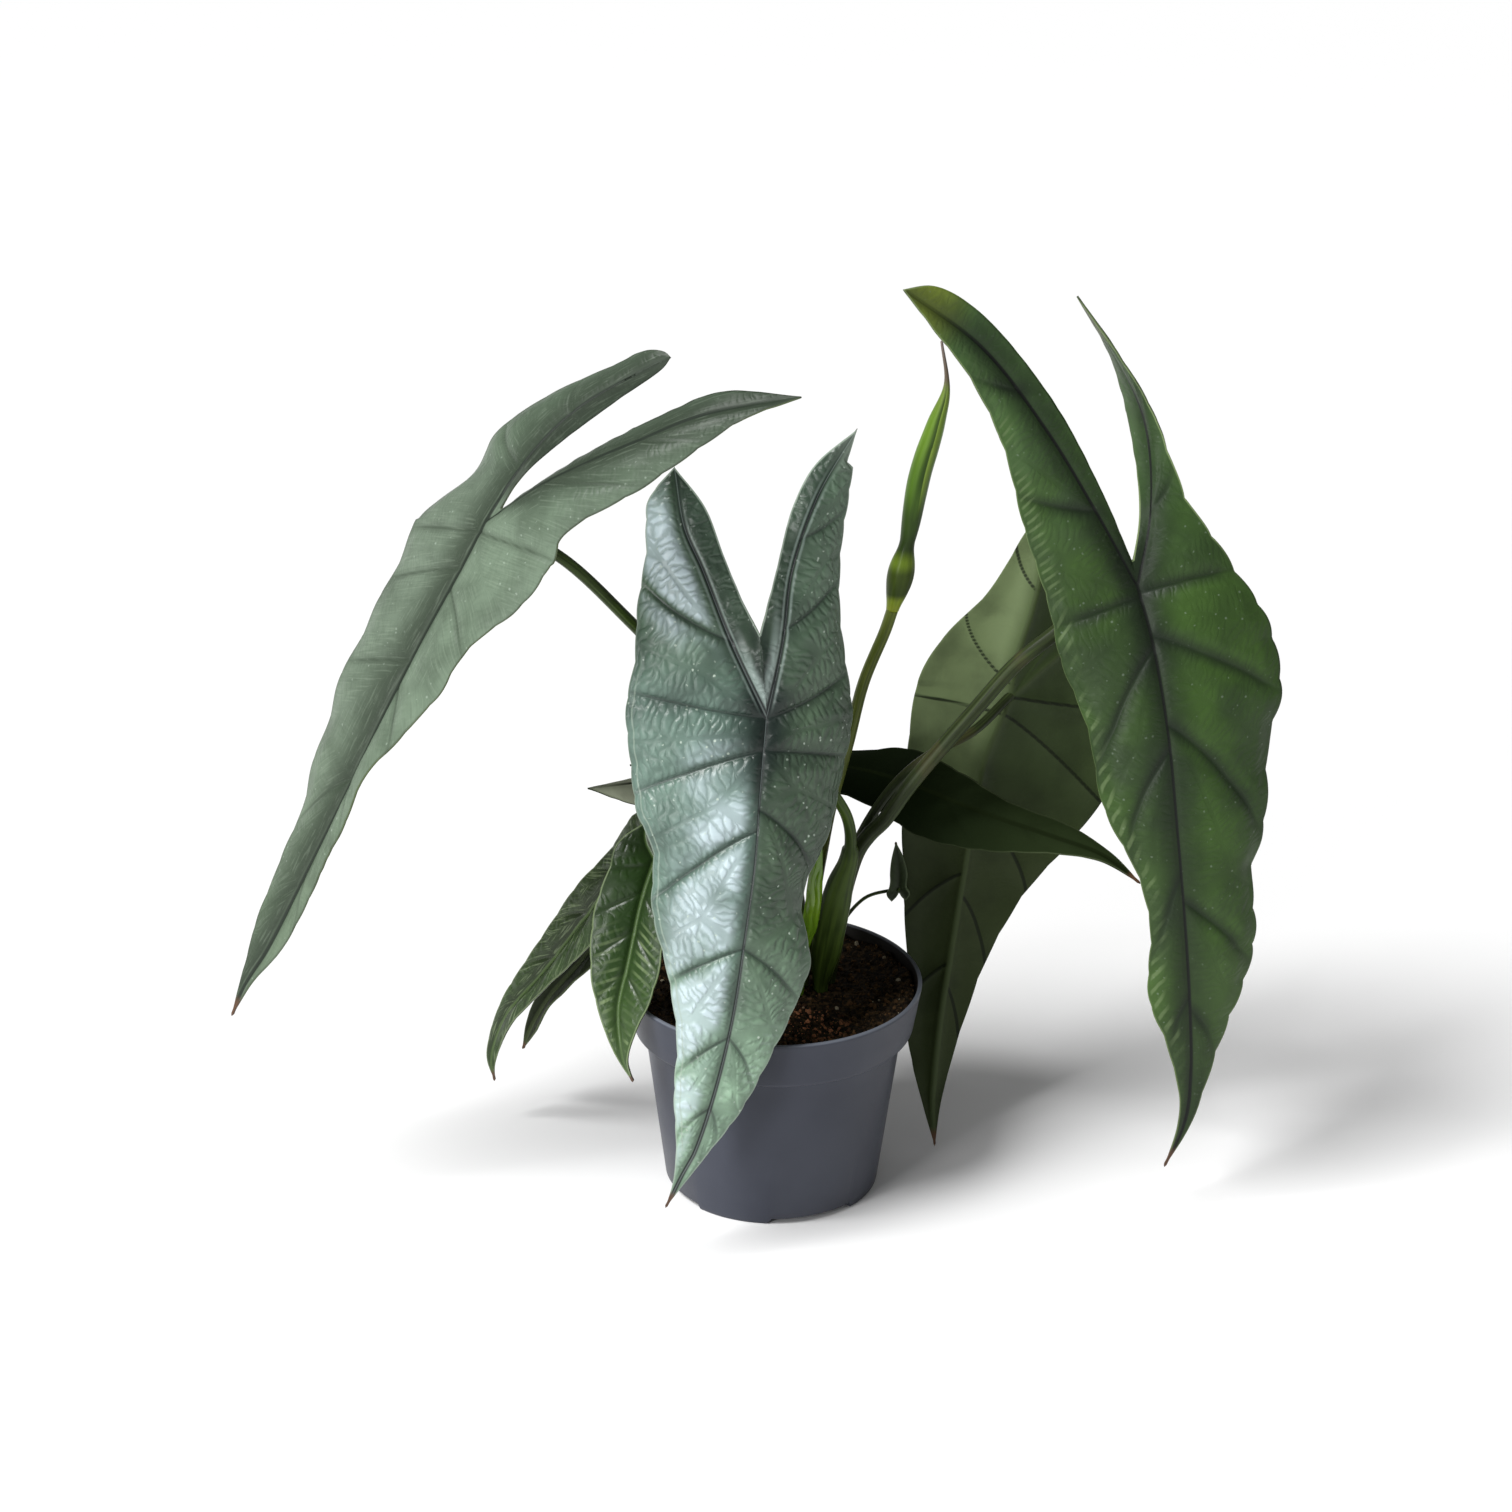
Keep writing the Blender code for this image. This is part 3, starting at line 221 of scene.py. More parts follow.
# %% The five large leaves
FRONT = dict(
    rib=[(-4, -42, 220), (-6, -52, 196), (-8, -60, 166), (-12, -66, 135), (-16, -70, 107),
         (-23, -73, 75), (-31, -75, 49), (-37, -76, 37), (-42, -75, 25)],
    vein_left=[(-4, -42, 220), (-18, -36, 249), (-29, -30, 276), (-36, -25, 291), (-40, -18, 313)],
    vein_right=[(-4, -42, 220), (2, -36, 250), (5, -30, 276), (14, -24, 303), (29, -16, 328)],
    lobe_left=[(-40, -18, 313), (-50, -20, 300), (-51, -24, 280), (-54, -29, 260), (-55, -34, 240),
               (-58, -37, 224)],
    edge_left=[(-58, -37, 224), (-57, -41, 206), (-54, -47, 184), (-48, -51, 170), (-48, -56, 148),
               (-43, -62, 127), (-38, -68, 98), (-39, -72, 75), (-38, -74, 52), (-39, -76, 38),
               (-42, -75, 25)],
    lobe_right=[(29, -16, 328), (27, -18, 306), (24, -18, 280), (24, -20, 256), (27, -22, 233),
                (29, -24, 219)],
    edge_right=[(29, -24, 219), (26, -30, 191), (20, -38, 170), (11, -48, 145), (14, -58, 124),
                (9, -62, 109), (1, -68, 94), (-11, -73, 70), (-25, -75, 50), (-35, -76, 36),
                (-42, -75, 25)],
    inner_left=[(-40, -18, 313), (-28, -22, 298), (-21, -28, 281), (-14, -33, 265), (-7, -37, 252)],
    inner_right=[(29, -16, 328), (13, -20, 315), (5, -23, 300), (-1, -30, 276), (-7, -37, 252)],
    side_left=[(-0.32, -0.5), (0.0, -0.05), (0.06, 0.17), (0.21, 0.38), (0.44, 0.54),
               (0.62, 0.72), (0.77, 0.85)],
    side_right=[(-0.6, -0.72), (-0.3, -0.46), (0.0, -0.12), (0.06, 0.09), (0.17, 0.31), (0.44, 0.54),
                (0.62, 0.72), (0.77, 0.85)],
    bays_left=(0.6, 13.0), bays_right=(0.7, 13.0), torn_side="right", tear=(13.5, 1.2, 2.6),
    full_width=30, quilt=1.7, camber=2.5, keel=1.4, wave=0.9, waves=5, phase=0.1, faces=(0, -1, 0.3))

LEFT = dict(
    rib=[(-111, -30, 295), (-119, -31, 279), (-135, -32, 249), (-152, -33, 215), (-168, -33, 181),
         (-182, -32, 152), (-198, -31, 119), (-209, -30, 99), (-216, -30, 85)],
    vein_left=[(-111, -30, 295), (-97, -29, 317), (-78, -30, 338), (-58, -33, 352), (-41, -36, 361.5)],
    vein_right=[(-111, -30, 295), (-92, -40, 312), (-72, -48, 325), (-52, -54, 336), (-29, -58, 347),
                (7, -60, 355)],
    lobe_left=[(-41, -36, 361.5), (-43, -34, 363), (-50, -30, 362.5), (-62, -22, 354.5), (-89, -8, 337),
               (-109, 1, 319), (-117, 4, 303), (-139, 3, 284)],
    edge_left=[(-139, 3, 284), (-151, -2, 259), (-167, -8, 229), (-178, -12, 198), (-189, -18, 163),
               (-202, -23, 133), (-210, -27, 107), (-216, -30, 85)],
    lobe_right=[(7, -60, 355), (-13, -64, 348), (-32, -66, 335), (-51, -66, 321), (-80, -62, 301),
                (-84, -62, 290)],
    edge_right=[(-84, -62, 290), (-99, -60, 270), (-121, -58, 249), (-129, -57, 233), (-155, -50, 202),
                (-170, -44, 169), (-181, -39, 144), (-194, -35, 117), (-207, -32, 101), (-216, -30, 85)],
    inner_left=[(-41, -36, 361.5), (-43.5, -35.5, 357.3), (-62, -31, 342), (-84, -29, 324),
                (-98, -30, 311), (-105, -31, 300)],
    inner_right=[(7, -60, 355), (-22, -52, 354), (-44, -46, 343), (-74, -38, 324), (-94, -33, 309),
                 (-105, -31, 300)],
    side_left=[(-0.55, -0.7), (-0.25, -0.4), (0.02, 0.02), (0.09, 0.12), (0.27, 0.29), (0.5, 0.61),
               (0.72, 0.8)],
    side_right=[(-0.55, -0.7), (-0.24, -0.43), (0.02, -0.01), (0.13, 0.21), (0.32, 0.42), (0.5, 0.6),
                (0.7, 0.8)],
    bays_left=(0.4, 16.0), bays_right=(0.7, 15.0), vein_depth=0.6,
    full_width=28, quilt=1.0, camber=2.0, keel=1.4, wave=0.9, waves=6, phase=0.3, faces=(-0.6, -0.6, 0.5))

RIGHT = dict(
    rib=[(138, -8, 263), (144, -17, 243), (151, -26, 208), (156, -31, 170), (161, -33, 130),
         (165, -33, 92), (167, -31, 63), (166, -29, 42), (159, -28, 19)],
    vein_left=[(138, -8, 263), (120, -6, 294), (101, -8, 325), (75, -12, 359), (45, -18, 383)],
    vein_right=[(138, -8, 263), (142, 0, 290), (139, 8, 322), (128, 12, 346), (111, 14, 371)],
    lobe_left=[(45, -18, 383), (59, -20, 365), (69, -20, 352), (83, -18, 324), (93, -15, 288),
               (103, -14, 258)],
    edge_left=[(103, -14, 258), (109, -17, 234), (120, -20, 208), (126, -25, 180), (142, -30, 148),
               (147, -32, 129), (148, -33, 98), (156, -33, 78), (163, -31, 52), (163, -30, 38),
               (159, -28, 19)],
    lobe_right=[(111, 14, 371), (126, 6, 352), (140, 4, 331), (158, 1, 293), (168, 0, 280), (177, -2, 267)],
    edge_right=[(177, -2, 267), (191, -6, 246), (196, -9, 223), (193, -12, 203), (192, -17, 178),
                (191, -20, 162), (188, -22, 148), (190, -26, 116), (181, -29, 86), (174, -30, 60),
                (168, -29, 38), (159, -28, 19)],
    inner_left=[(45, -18, 383), (57, -14, 383), (74, -10, 372), (103, -4, 336), (123, -3, 300),
                (136, -5, 272)],
    inner_right=[(111, 14, 371), (126, 20, 344), (135, 14, 313), (138, 2, 289), (136, -5, 272)],
    side_left=[(-0.6, -0.7), (-0.22, -0.33), (0.02, 0.04), (0.1, 0.28), (0.26, 0.44), (0.47, 0.61),
               (0.68, 0.79)],
    side_right=[(-0.55, -0.68), (-0.25, -0.4), (0.01, -0.01), (0.08, 0.2), (0.22, 0.42), (0.51, 0.63),
                (0.7, 0.8)],
    bays_left=(0.6, 15.0), bays_right=(1.3, 17.5), vein_depth=0.8,
    full_width=30, quilt=1.4, camber=2.5, keel=1.4, wave=1.1, waves=6, phase=0.0, faces=(0, -1, 0.3))

BACK = dict(
    rib=[(94, 40, 197), (90, 40, 185), (85, 40, 170), (81, 38, 145), (77, 36, 115), (73, 32, 85),
         (69, 26, 55), (67, 20, 26), (68, 15, 4)],
    vein_left=[(94, 40, 197), (96, 42, 212), (102, 46, 232), (108, 52, 259), (112, 56, 283)],
    vein_right=[(94, 40, 197), (106, 47, 206), (122, 56, 216), (138, 64, 229), (150, 72, 243)],
    lobe_left=[(112, 56, 283), (98, 54, 261), (85, 52, 238), (66, 50, 217), (57, 48, 200)],
    edge_left=[(57, 48, 200), (54, 46, 177), (52, 43, 140), (53, 39, 110), (55, 35, 82), (56, 28, 48),
               (63, 20, 20), (68, 15, 4)],
    lobe_right=[(150, 72, 243), (159, 70, 222), (156, 64, 192), (147, 59, 170)],
    edge_right=[(147, 59, 170), (129, 50, 138), (109, 43, 116), (93, 37, 92), (81, 30, 62),
                (71, 21, 26), (68, 15, 4)],
    inner_left=[(112, 56, 283), (118, 57, 264), (120, 56, 247), (119, 54, 234), (117, 52, 225)],
    inner_right=[(150, 72, 243), (139, 67, 239), (130, 61, 233), (122, 56, 228), (117, 52, 225)],
    side_left=[(-0.5, -0.68), (-0.06, -0.34), (0.04, 0.03), (0.2, 0.3), (0.4, 0.5), (0.6, 0.68)],
    side_right=[(-0.4, -0.6), (0.0, -0.16), (0.04, 0.15), (0.25, 0.4), (0.45, 0.58), (0.65, 0.75)],
    bays_left=(0.3, 20.0), bays_right=(0.5, 20.0), vein_depth=0.35,
    full_width=30, quilt=0.8, camber=2.0, keel=0.7, wave=0.9, waves=5, phase=0.2, faces=(0, 1, -0.1))

FLAT = dict(
    rib=[(-6, 34, 168), (12, 33, 169), (30, 31, 169), (52, 26, 165), (72, 20, 159), (90, 15, 154),
         (112, 8.5, 149), (130, 3.5, 144), (146, -2, 134)],
    vein_left=[(-6, 34, 168), (-20, 29, 169), (-38, 21, 169), (-56, 14, 169), (-75, 8, 169)],
    vein_right=[(-6, 34, 168), (-18, 40, 167), (-32, 46, 165), (-46, 52, 162), (-60, 57, 158)],
    lobe_left=[(-75, 8, 169), (-57, 4, 164), (-38, 6, 161), (-12, 12, 161)],
    edge_left=[(-12, 12, 161), (8, 15, 163), (26, 16, 164), (39, 16, 158), (57, 15, 146),
               (82, 10, 142), (112, 5, 143), (130, 1, 142), (146, -2, 134)],
    lobe_right=[(-60, 57, 158), (-42, 62, 157), (-22, 62, 159), (-4, 58, 162)],
    edge_right=[(-4, 58, 162), (14, 52, 167), (30, 46, 170), (55, 36, 175), (74, 28, 169), (92, 21, 160),
                (121, 12, 151), (136, 4, 143), (146, -2, 134)],
    inner_left=[(-75, 8, 169), (-58, 20, 168), (-42, 28, 168), (-28, 33, 168), (-18, 35, 168)],
    inner_right=[(-60, 57, 158), (-48, 47, 163), (-36, 42, 165), (-26, 39, 167), (-18, 35, 168)],
    side_left=[(-0.5, -0.65), (-0.1, -0.3), (0.03, 0.03), (0.14, 0.24), (0.3, 0.42), (0.48, 0.6),
               (0.68, 0.78)],
    side_right=[(-0.5, -0.65), (-0.1, -0.3), (0.03, 0.03), (0.14, 0.24), (0.3, 0.42), (0.48, 0.6),
                (0.68, 0.78)],
    vein_depth=0.25,
    full_width=22, quilt=0.4, camber=1.5, keel=0.8, wave=0.6, waves=5, phase=0.4, faces=(0, -0.2, 1))

for name, leaf in (("front", FRONT), ("left", LEFT), ("right", RIGHT), ("back", BACK), ("flat", FLAT)):
    print(name, "leaf's midrib in mm:", round(lengths(curve_points(leaf["rib"]))[-1]))

# %% [markdown]
# The four small leaves are half hidden. Their two short lobes are worked out from the way that the midrib
# and the shoulders lie, so each needs only three lists of points.

# %% The small leaves
SINUS_DEPTH = 0.3
LOBE_VEIN_BEND = (0.45, 0.7)
LOBE_OUTER_BEND = (0.5, 0.5)
LOBE_INNER_BEND = (0.68, 0.4)
SMALL_SIDE_VEINS = [(-0.4, -0.5), (0.03, 0.0), (0.15, 0.22), (0.32, 0.42), (0.5, 0.6), (0.7, 0.78)]


def small_leaf(rib, left, right, lobe, spread, faces, swelling, waves=4):
    stalk = vec(rib[0])
    back = unit(stalk - vec(rib[1]))
    across = vec(right[0]) - vec(left[0])
    across = unit(across - back * np.dot(across, back))
    leaf = dict(rib=rib, edge_left=left, edge_right=right, faces=faces, waves=waves, phase=0.2,
                side_left=SMALL_SIDE_VEINS, side_right=SMALL_SIDE_VEINS, full_width=3 * spread,
                quilt=swelling, camber=swelling, keel=swelling, wave=0.5 * swelling)
    sinus = stalk + SINUS_DEPTH * lobe * back
    for side, way in (("left", -across), ("right", across)):
        shoulder = vec(leaf["edge_" + side][0])
        tip = stalk + lobe * back + spread * way
        vein_bend = stalk + LOBE_VEIN_BEND[0] * lobe * back + LOBE_VEIN_BEND[1] * spread * way
        outer_bend = tip + LOBE_OUTER_BEND[0] * (shoulder - tip) + LOBE_OUTER_BEND[1] * spread * way
        inner_bend = stalk + LOBE_INNER_BEND[0] * lobe * back + LOBE_INNER_BEND[1] * spread * way
        leaf["vein_" + side] = [stalk, vein_bend, tip]
        leaf["lobe_" + side] = [tip, outer_bend, shoulder]
        leaf["inner_" + side] = [tip, inner_bend, sinus]
    return leaf


LOW_LEFT = small_leaf(
    rib=[(-50, 8, 146), (-57, 12, 139), (-75, 19, 110), (-96, 26, 77), (-111, 32, 55), (-118, 36, 32),
         (-117, 38, 20)],
    left=[(-57, 18, 153), (-67, 22, 136), (-83, 27, 114), (-96, 31, 91), (-113, 36, 60),
          (-120, 38, 33), (-117, 38, 20)],
    right=[(-53, 6, 121), (-64, 9, 108), (-77, 13, 94), (-93, 20, 74), (-109, 28, 52), (-116, 36, 30),
           (-117, 38, 20)],
    lobe=11, spread=5, faces=(-0.7, -0.4, 0.5), swelling=0.8)
SMALL = small_leaf(
    rib=[(-48, -12, 147), (-53, -17, 132), (-58, -26, 109), (-62, -33, 90), (-60, -38, 73), (-56, -38, 61)],
    left=[(-66, -14, 144), (-72, -18, 126), (-73, -27, 104), (-69, -33, 87), (-62, -38, 71),
          (-56, -38, 61)],
    right=[(-40, -22, 140), (-43, -26, 126), (-45, -33, 112), (-48, -38, 100), (-55, -40, 84),
           (-58, -40, 72), (-56, -38, 61)],
    lobe=13, spread=8, faces=(-0.3, -1, 0.3), swelling=0.8)
DARK = small_leaf(
    rib=[(-46, 24, 122), (-60, 28, 106), (-76, 34, 84), (-92, 43, 59), (-101, 50, 41), (-106, 52, 28)],
    left=[(-54, 27, 127), (-66, 31, 109), (-80, 37, 90), (-97, 46, 62), (-104, 51, 42), (-106, 52, 28)],
    right=[(-50, 19, 102), (-63, 23, 91), (-78, 30, 76), (-94, 41, 53), (-101, 48, 37), (-106, 52, 28)],
    lobe=12, spread=6, faces=(-0.7, -0.4, 0.5), swelling=0.7)
TINY = small_leaf(
    rib=[(51, 30, 115), (51, 29, 121), (50, 28, 129), (49, 28, 137)],
    left=[(47, 28, 116), (47, 28, 123), (47.5, 28, 130), (49, 28, 137)],
    right=[(54, 29, 116), (54, 28, 123), (52, 28, 131), (49, 28, 137)],
    lobe=6, spread=3, faces=(0, -1, 0.4), swelling=0.4, waves=2)

print("the small leaf's sinus:", SMALL["inner_left"][-1].round(1))

# %% [markdown]
# ## A blade's sheet
# Each half of a blade is a grid. Its rows run from the midrib, or from the basal vein of a lobe, out to the
# margin. Every point knows how far it is from the midrib, from the nearest side vein and from the margin,
# and where it lies beside the vein that it is nearest to. The relief and the colours are both made from
# those few numbers, so that a groove and its dark line are always in the same place. Subdividing a rough
# mesh and sculpting it would give the same form, but not these numbers.

# %% The margins and the midrib near the drip tip
RIB_CENTRING = 12.0
TIP_WIDTH = 1.1


def settle_tip(rib, left, right, lobe_rows):
    """Keep the midrib between the margins where the blade narrows to its drip tip."""
    direction = unit(right[lobe_rows] - left[lobe_rows])
    for i in range(1, len(rib) - 1):
        a = left[lobe_rows + i]
        b = right[lobe_rows + i]
        middle = (a + b) / 2
        tangent = unit(rib[i + 1] - rib[i - 1])
        sideways = (b - a) - tangent * np.dot(b - a, tangent)
        width = np.linalg.norm(sideways)
        if width > TIP_WIDTH:
            direction = sideways / width
        share = max(0.0, 1 - width / RIB_CENTRING)
        half = direction * max(width, TIP_WIDTH) / 2
        rib[i] += (middle - rib[i]) * share
        left[lobe_rows + i] += (middle - half - a) * share
        right[lobe_rows + i] += (middle + half - b) * share


def margin(lobe_edge, blade_edge, rib_rows, lobe_rows):
    dense = curve_points(list(lobe_edge) + list(blade_edge[1:]))
    corner = SPAN_SAMPLES * (len(lobe_edge) - 1)
    lobe = resample(dense[:corner + 1], lobe_rows)
    return np.concatenate([lobe, resample(dense[corner:], rib_rows)[1:]])


def ease(x):
    """0 below 0, 1 above 1, and a soft step between."""
    x = np.clip(x, 0, 1)
    return x * x * (3 - 2 * x)


# %% [markdown]
# The real margins aren't smooth curves. Between the ends of two side veins the blade bulges a little, so
# the margin is a row of shallow bays, and the front leaf's right lobe has a tear below its tip.

# %% Bays and a tear in the margin
BAY_SHARPNESS = 0.7
BAY_WANDER = 23.0
BAY_WANDER_TURN = 0.6
BAY_START = 18.0
BAY_END = 45.0
BAY_FULL_WIDTH = 14.0
MOST_PULLED_IN = 0.6
PLAIN_BAYS = (0.5, 13.0)


def pulled_in(edge, rail, depth):
    inward = rail - edge
    width = np.linalg.norm(inward, axis=1)
    return edge + inward * (np.minimum(depth, MOST_PULLED_IN * width) / np.maximum(width, 1e-6))[:, None]


def with_bays(edge, rail, size, period):
    way = lengths(edge)
    width = np.linalg.norm(rail - edge, axis=1)
    fade = ease(way / BAY_START) * ease((way[-1] - way) / BAY_END) * np.minimum(1, width / BAY_FULL_WIDTH)
    turn = pi * way / period + BAY_WANDER_TURN * np.sin(way / BAY_WANDER)
    return pulled_in(edge, rail, size * fade * (1 - np.abs(np.sin(turn)) ** BAY_SHARPNESS))


def with_tear(edge, rail, start, width, depth):
    """start: way from the lobe's tip to the bottom of the tear."""
    way = lengths(edge)
    return pulled_in(edge, rail, depth * np.interp(way, (0, start, start + width), (0, 1, 0)))


print("a bay of a plain leaf:", PLAIN_BAYS[0], "mm deep and", PLAIN_BAYS[1], "mm long")

# %% [markdown]
# The fine wrinkles of this leaf stand at right angles to the nearest vein, like the teeth of a comb. So each
# point is given a place beside its nearest vein: how far along the vein, and how far out from it. Where
# two veins are equally near, the combs of both meet in a crease, and the difference of the two distances
# says how far away that crease is.

# %% The place of a point beside its nearest vein
LINE_STEP = 1.0
POINTS_AT_ONCE = 20000
NEXT_VEIN = 97.0
OTHER_SIDE = 1511.0


def beside(points, line, face):
    """How far a line is from each point, the way along it, and the side of it that the point is on."""
    way = lengths(line)
    tangent = np.gradient(line, axis=0)
    tangent /= np.maximum(np.linalg.norm(tangent, axis=1, keepdims=True), 1e-9)
    squares = (line ** 2).sum(axis=1)
    nearest = np.concatenate([
        (squares - 2 * points[first:first + POINTS_AT_ONCE] @ line.T).argmin(axis=1)
        for first in range(0, len(points), POINTS_AT_ONCE)])
    offset = points - line[nearest]
    step = np.clip((offset * tangent[nearest]).sum(axis=1), -LINE_STEP, LINE_STEP)
    offset -= step[:, None] * tangent[nearest]
    side = (np.cross(tangent[nearest], face) * offset).sum(axis=1) > 0
    return np.linalg.norm(offset, axis=1), way[nearest] + step, side


def vein_places(net, lines, face, first_place):
    """Numbers of each point of a grid: rail, vein, way, out and crease, in mm."""
    points = net.reshape(-1, 3)
    rail = vein = None
    out = second = np.full(len(points), 1e3)
    place = np.zeros(len(points))
    for number, line in enumerate(lines):
        distance, way, side = beside(points, line, face)
        if number == 0:
            rail = distance
            vein = np.full(len(points), 1e3)
        else:
            vein = np.minimum(vein, distance)
        closer = distance < out
        second = np.where(closer, out, np.minimum(second, distance))
        place = np.where(closer, first_place + way + NEXT_VEIN * number + OTHER_SIDE * side, place)
        out = np.where(closer, distance, out)
    return {"rail": rail, "vein": vein, "way": place, "out": out, "crease": second - out}


# %% [markdown]
# A half is two grids: one from the midrib and the basal vein out to the margin, with the side veins drawn
# on it, and one from the basal vein in to the sinus. The two inner grids of a leaf share their row from the
# stalk to the sinus, so both have the same number of columns. With different numbers the lobes would part.

# %% The grid of one half, and the side veins drawn on it
SIDE_VEIN_BEND = 1.15
WAVE_END = 6.0
WAVE_POWER = 2.5


def grid(inside, outside, columns):
    across = np.linspace(0, 1, columns + 1)
    return inside[:, None] + (outside - inside)[:, None] * across[None, :, None], across


def side_vein(net, along, across, start, end):
    """Points of a side vein on a half's grid."""
    path = start + (end - start) * across ** SIDE_VEIN_BEND
    rows = np.interp(path, along, np.arange(len(along)))
    low = np.clip(rows.astype(int), 0, len(along) - 2)
    share = (rows - low)[:, None]
    columns = np.arange(len(across))
    points = net[low, columns] * (1 - share) + net[low + 1, columns] * share
    return resample(points, max(4, int(lengths(points)[-1] / LINE_STEP)))


def half_blade(leaf, side, rib, outer, lobe_rows, columns, inner_columns):
    """The outer grid from midrib and basal vein to the margin, and the grid inside the lobe."""
    vein = even(leaf["vein_" + side][::-1], lobe_rows)
    rail = np.concatenate([vein, rib[1:]])
    rib_rows = len(rib) - 1
    along = np.concatenate([np.arange(-lobe_rows, 1) / lobe_rows, np.arange(1, rib_rows + 1) / rib_rows])
    outer = with_bays(outer, rail, *leaf.get("bays_" + side, PLAIN_BAYS))
    if side == leaf.get("torn_side"):
        outer = with_tear(outer, rail, *leaf["tear"])
    outer_net, across = grid(rail, outer, columns)
    width = np.linalg.norm(outer - rail, axis=1)
    shrink = np.minimum(1, width / leaf["full_width"])
    sign = -1.0 if side == "left" else 1.0
    in_blade = np.minimum(1, WAVE_END * (1 - along)) * (along > 0)
    rise = np.sin(2 * pi * (along * leaf["waves"] + leaf["phase"])) * in_blade
    camber = leaf["camber"] * np.sin(pi * across)[None, :]
    swell = camber + leaf["wave"] * rise[:, None] * across[None, :] ** WAVE_POWER
    lines = [resample(rail, int(lengths(rail)[-1] / LINE_STEP))]
    lines += [side_vein(outer_net, along, across, start, end) for start, end in leaf["side_" + side]]
    inner_edge = even(leaf["inner_" + side], lobe_rows)
    inner_width = np.linalg.norm(inner_edge - vein, axis=1)
    inner_net, inner_across = grid(vein, inner_edge, inner_columns)
    count = lobe_rows + 1
    parts = []
    for net, wide, steps, lift, rows, hand, inner in (
            (outer_net, width, across, swell * shrink[:, None], slice(None), sign, 0.0),
            (inner_net, inner_width, inner_across, 0 * inner_net[..., 0], slice(count), 1.0, 1.0)):
        part = dict(points=net, lift=lift, u=hand * wide[:, None] * steps[None, :],
                    along=along[rows, None] + 0 * steps, width=wide[:, None] + 0 * steps,
                    inner=np.full(net.shape[:2], inner))
        part.update(vein_places(net, lines, vec(leaf["faces"]), 0.0 if side == "left" else OTHER_SIDE / 2))
        parts.append(part)
    return parts


print("the front leaf has", len(FRONT["side_left"]) + len(FRONT["side_right"]), "side veins")

# %% [markdown]
# The distance to the margin is asked of a k-d tree, which finds the nearest of thousands of points at once.
# The margin itself is found from the sheet's edges: an edge with a face on one side only is margin.

# %% The sheet of a whole blade
def distances(points, lines):
    tree = KDTree(len(lines))
    for i, point in enumerate(lines):
        tree.insert(point, i)
    tree.balance()
    return np.array([tree.find(point)[2] for point in points])


def grid_faces(first, rows, columns, flip):
    """Triangles of a grid whose points are numbered row by row."""
    r, c = np.meshgrid(np.arange(rows - 1), np.arange(columns - 1), indexing="ij")
    a = (first + r * columns + c).ravel()
    quads = np.stack([a, a + 1, a + columns + 1, a + columns], axis=1)
    faces = np.concatenate([quads[:, [0, 1, 2]], quads[:, [0, 2, 3]]])
    return faces[:, ::-1] if flip else faces


TOLD = ("u", "inner", "lift", "along", "width", "rail", "vein", "way", "out", "crease")


def welded(parts, flips):
    """One set of points and triangles from the four grids, with shared points made one."""
    points = np.concatenate([part["points"].reshape(-1, 3) for part in parts])
    faces = []
    first = 0
    for part, flip in zip(parts, flips):
        rows, columns = part["points"].shape[:2]
        faces.append(grid_faces(first, rows, columns, flip))
        first += rows * columns
    _, kept, same = np.unique(np.round(points, 4), axis=0, return_index=True, return_inverse=True)
    faces = same.ravel()[np.concatenate(faces)]
    real = (faces[:, 0] != faces[:, 1]) & (faces[:, 1] != faces[:, 2]) & (faces[:, 2] != faces[:, 0])
    told = {name: np.concatenate([part[name].ravel() for part in parts])[kept] for name in TOLD}
    return points[kept], faces[real], told


def boundary_points(points, faces):
    edges = np.concatenate([faces[:, [0, 1]], faces[:, [1, 2]], faces[:, [2, 0]]])
    ordered = np.sort(edges, axis=1)
    _, first, count = np.unique(ordered, axis=0, return_index=True, return_counts=True)
    rim = edges[first[count == 1]]
    return (points[rim[:, 0]] + points[rim[:, 1]]) / 2


print("a grid of 3 by 3 points has", len(grid_faces(0, 3, 3, False)), "triangles")

# %% [markdown]
# ## The relief of a blade
# Seen from above, the veins lie sunken and the skin between them swells like a quilt. So the swelling
# follows the distance from the nearest vein and dies away at the margin. A shallow ruffle runs along the
# margin. The midrib is a channel above and a round rib below.

# %% The relief, and the sheet as a mesh with its numbers as attributes
STALK_FADE = 9.0
QUILT_REACH = 7.5
QUILT_POWER = 0.75
QUILT_LEVEL = 0.35
RIB_LOBE_SHARE = 0.25
RIB_LOBE_GAIN = 0.45
RIB_TIP_LOSS = 0.7
FULL_RIB_WIDTH = 6.0
SIDE_VEIN_MARGIN = 8.0
GROOVE_BELOW = 0.6
CHANNEL_DEPTH = 0.75
CHANNEL_HALF = 1.4
SIDE_CHANNEL_DEPTH = 0.5
SIDE_CHANNEL_HALF = 1.1
RIB_HALF = 1.6
SIDE_RIB_HALF = 0.9
SIDE_RIB_DEPTH = 0.55
RUFFLE = 0.25
RUFFLE_REACH = 3.0
RUFFLE_PERIODS = (13.7, 8.9)


def bell(distance, half):
    return np.exp(-(distance / half) ** 2)


def keep(mesh, name, values):
    """Give each point of a mesh a number or a vector that nodes and materials can read."""
    values = np.asarray(values, dtype=np.float32)
    kind, key = ("FLOAT_VECTOR", "vector") if values.ndim == 2 else ("FLOAT", "value")
    mesh.attributes.new(name, kind, "POINT").data.foreach_set(key, values.ravel())


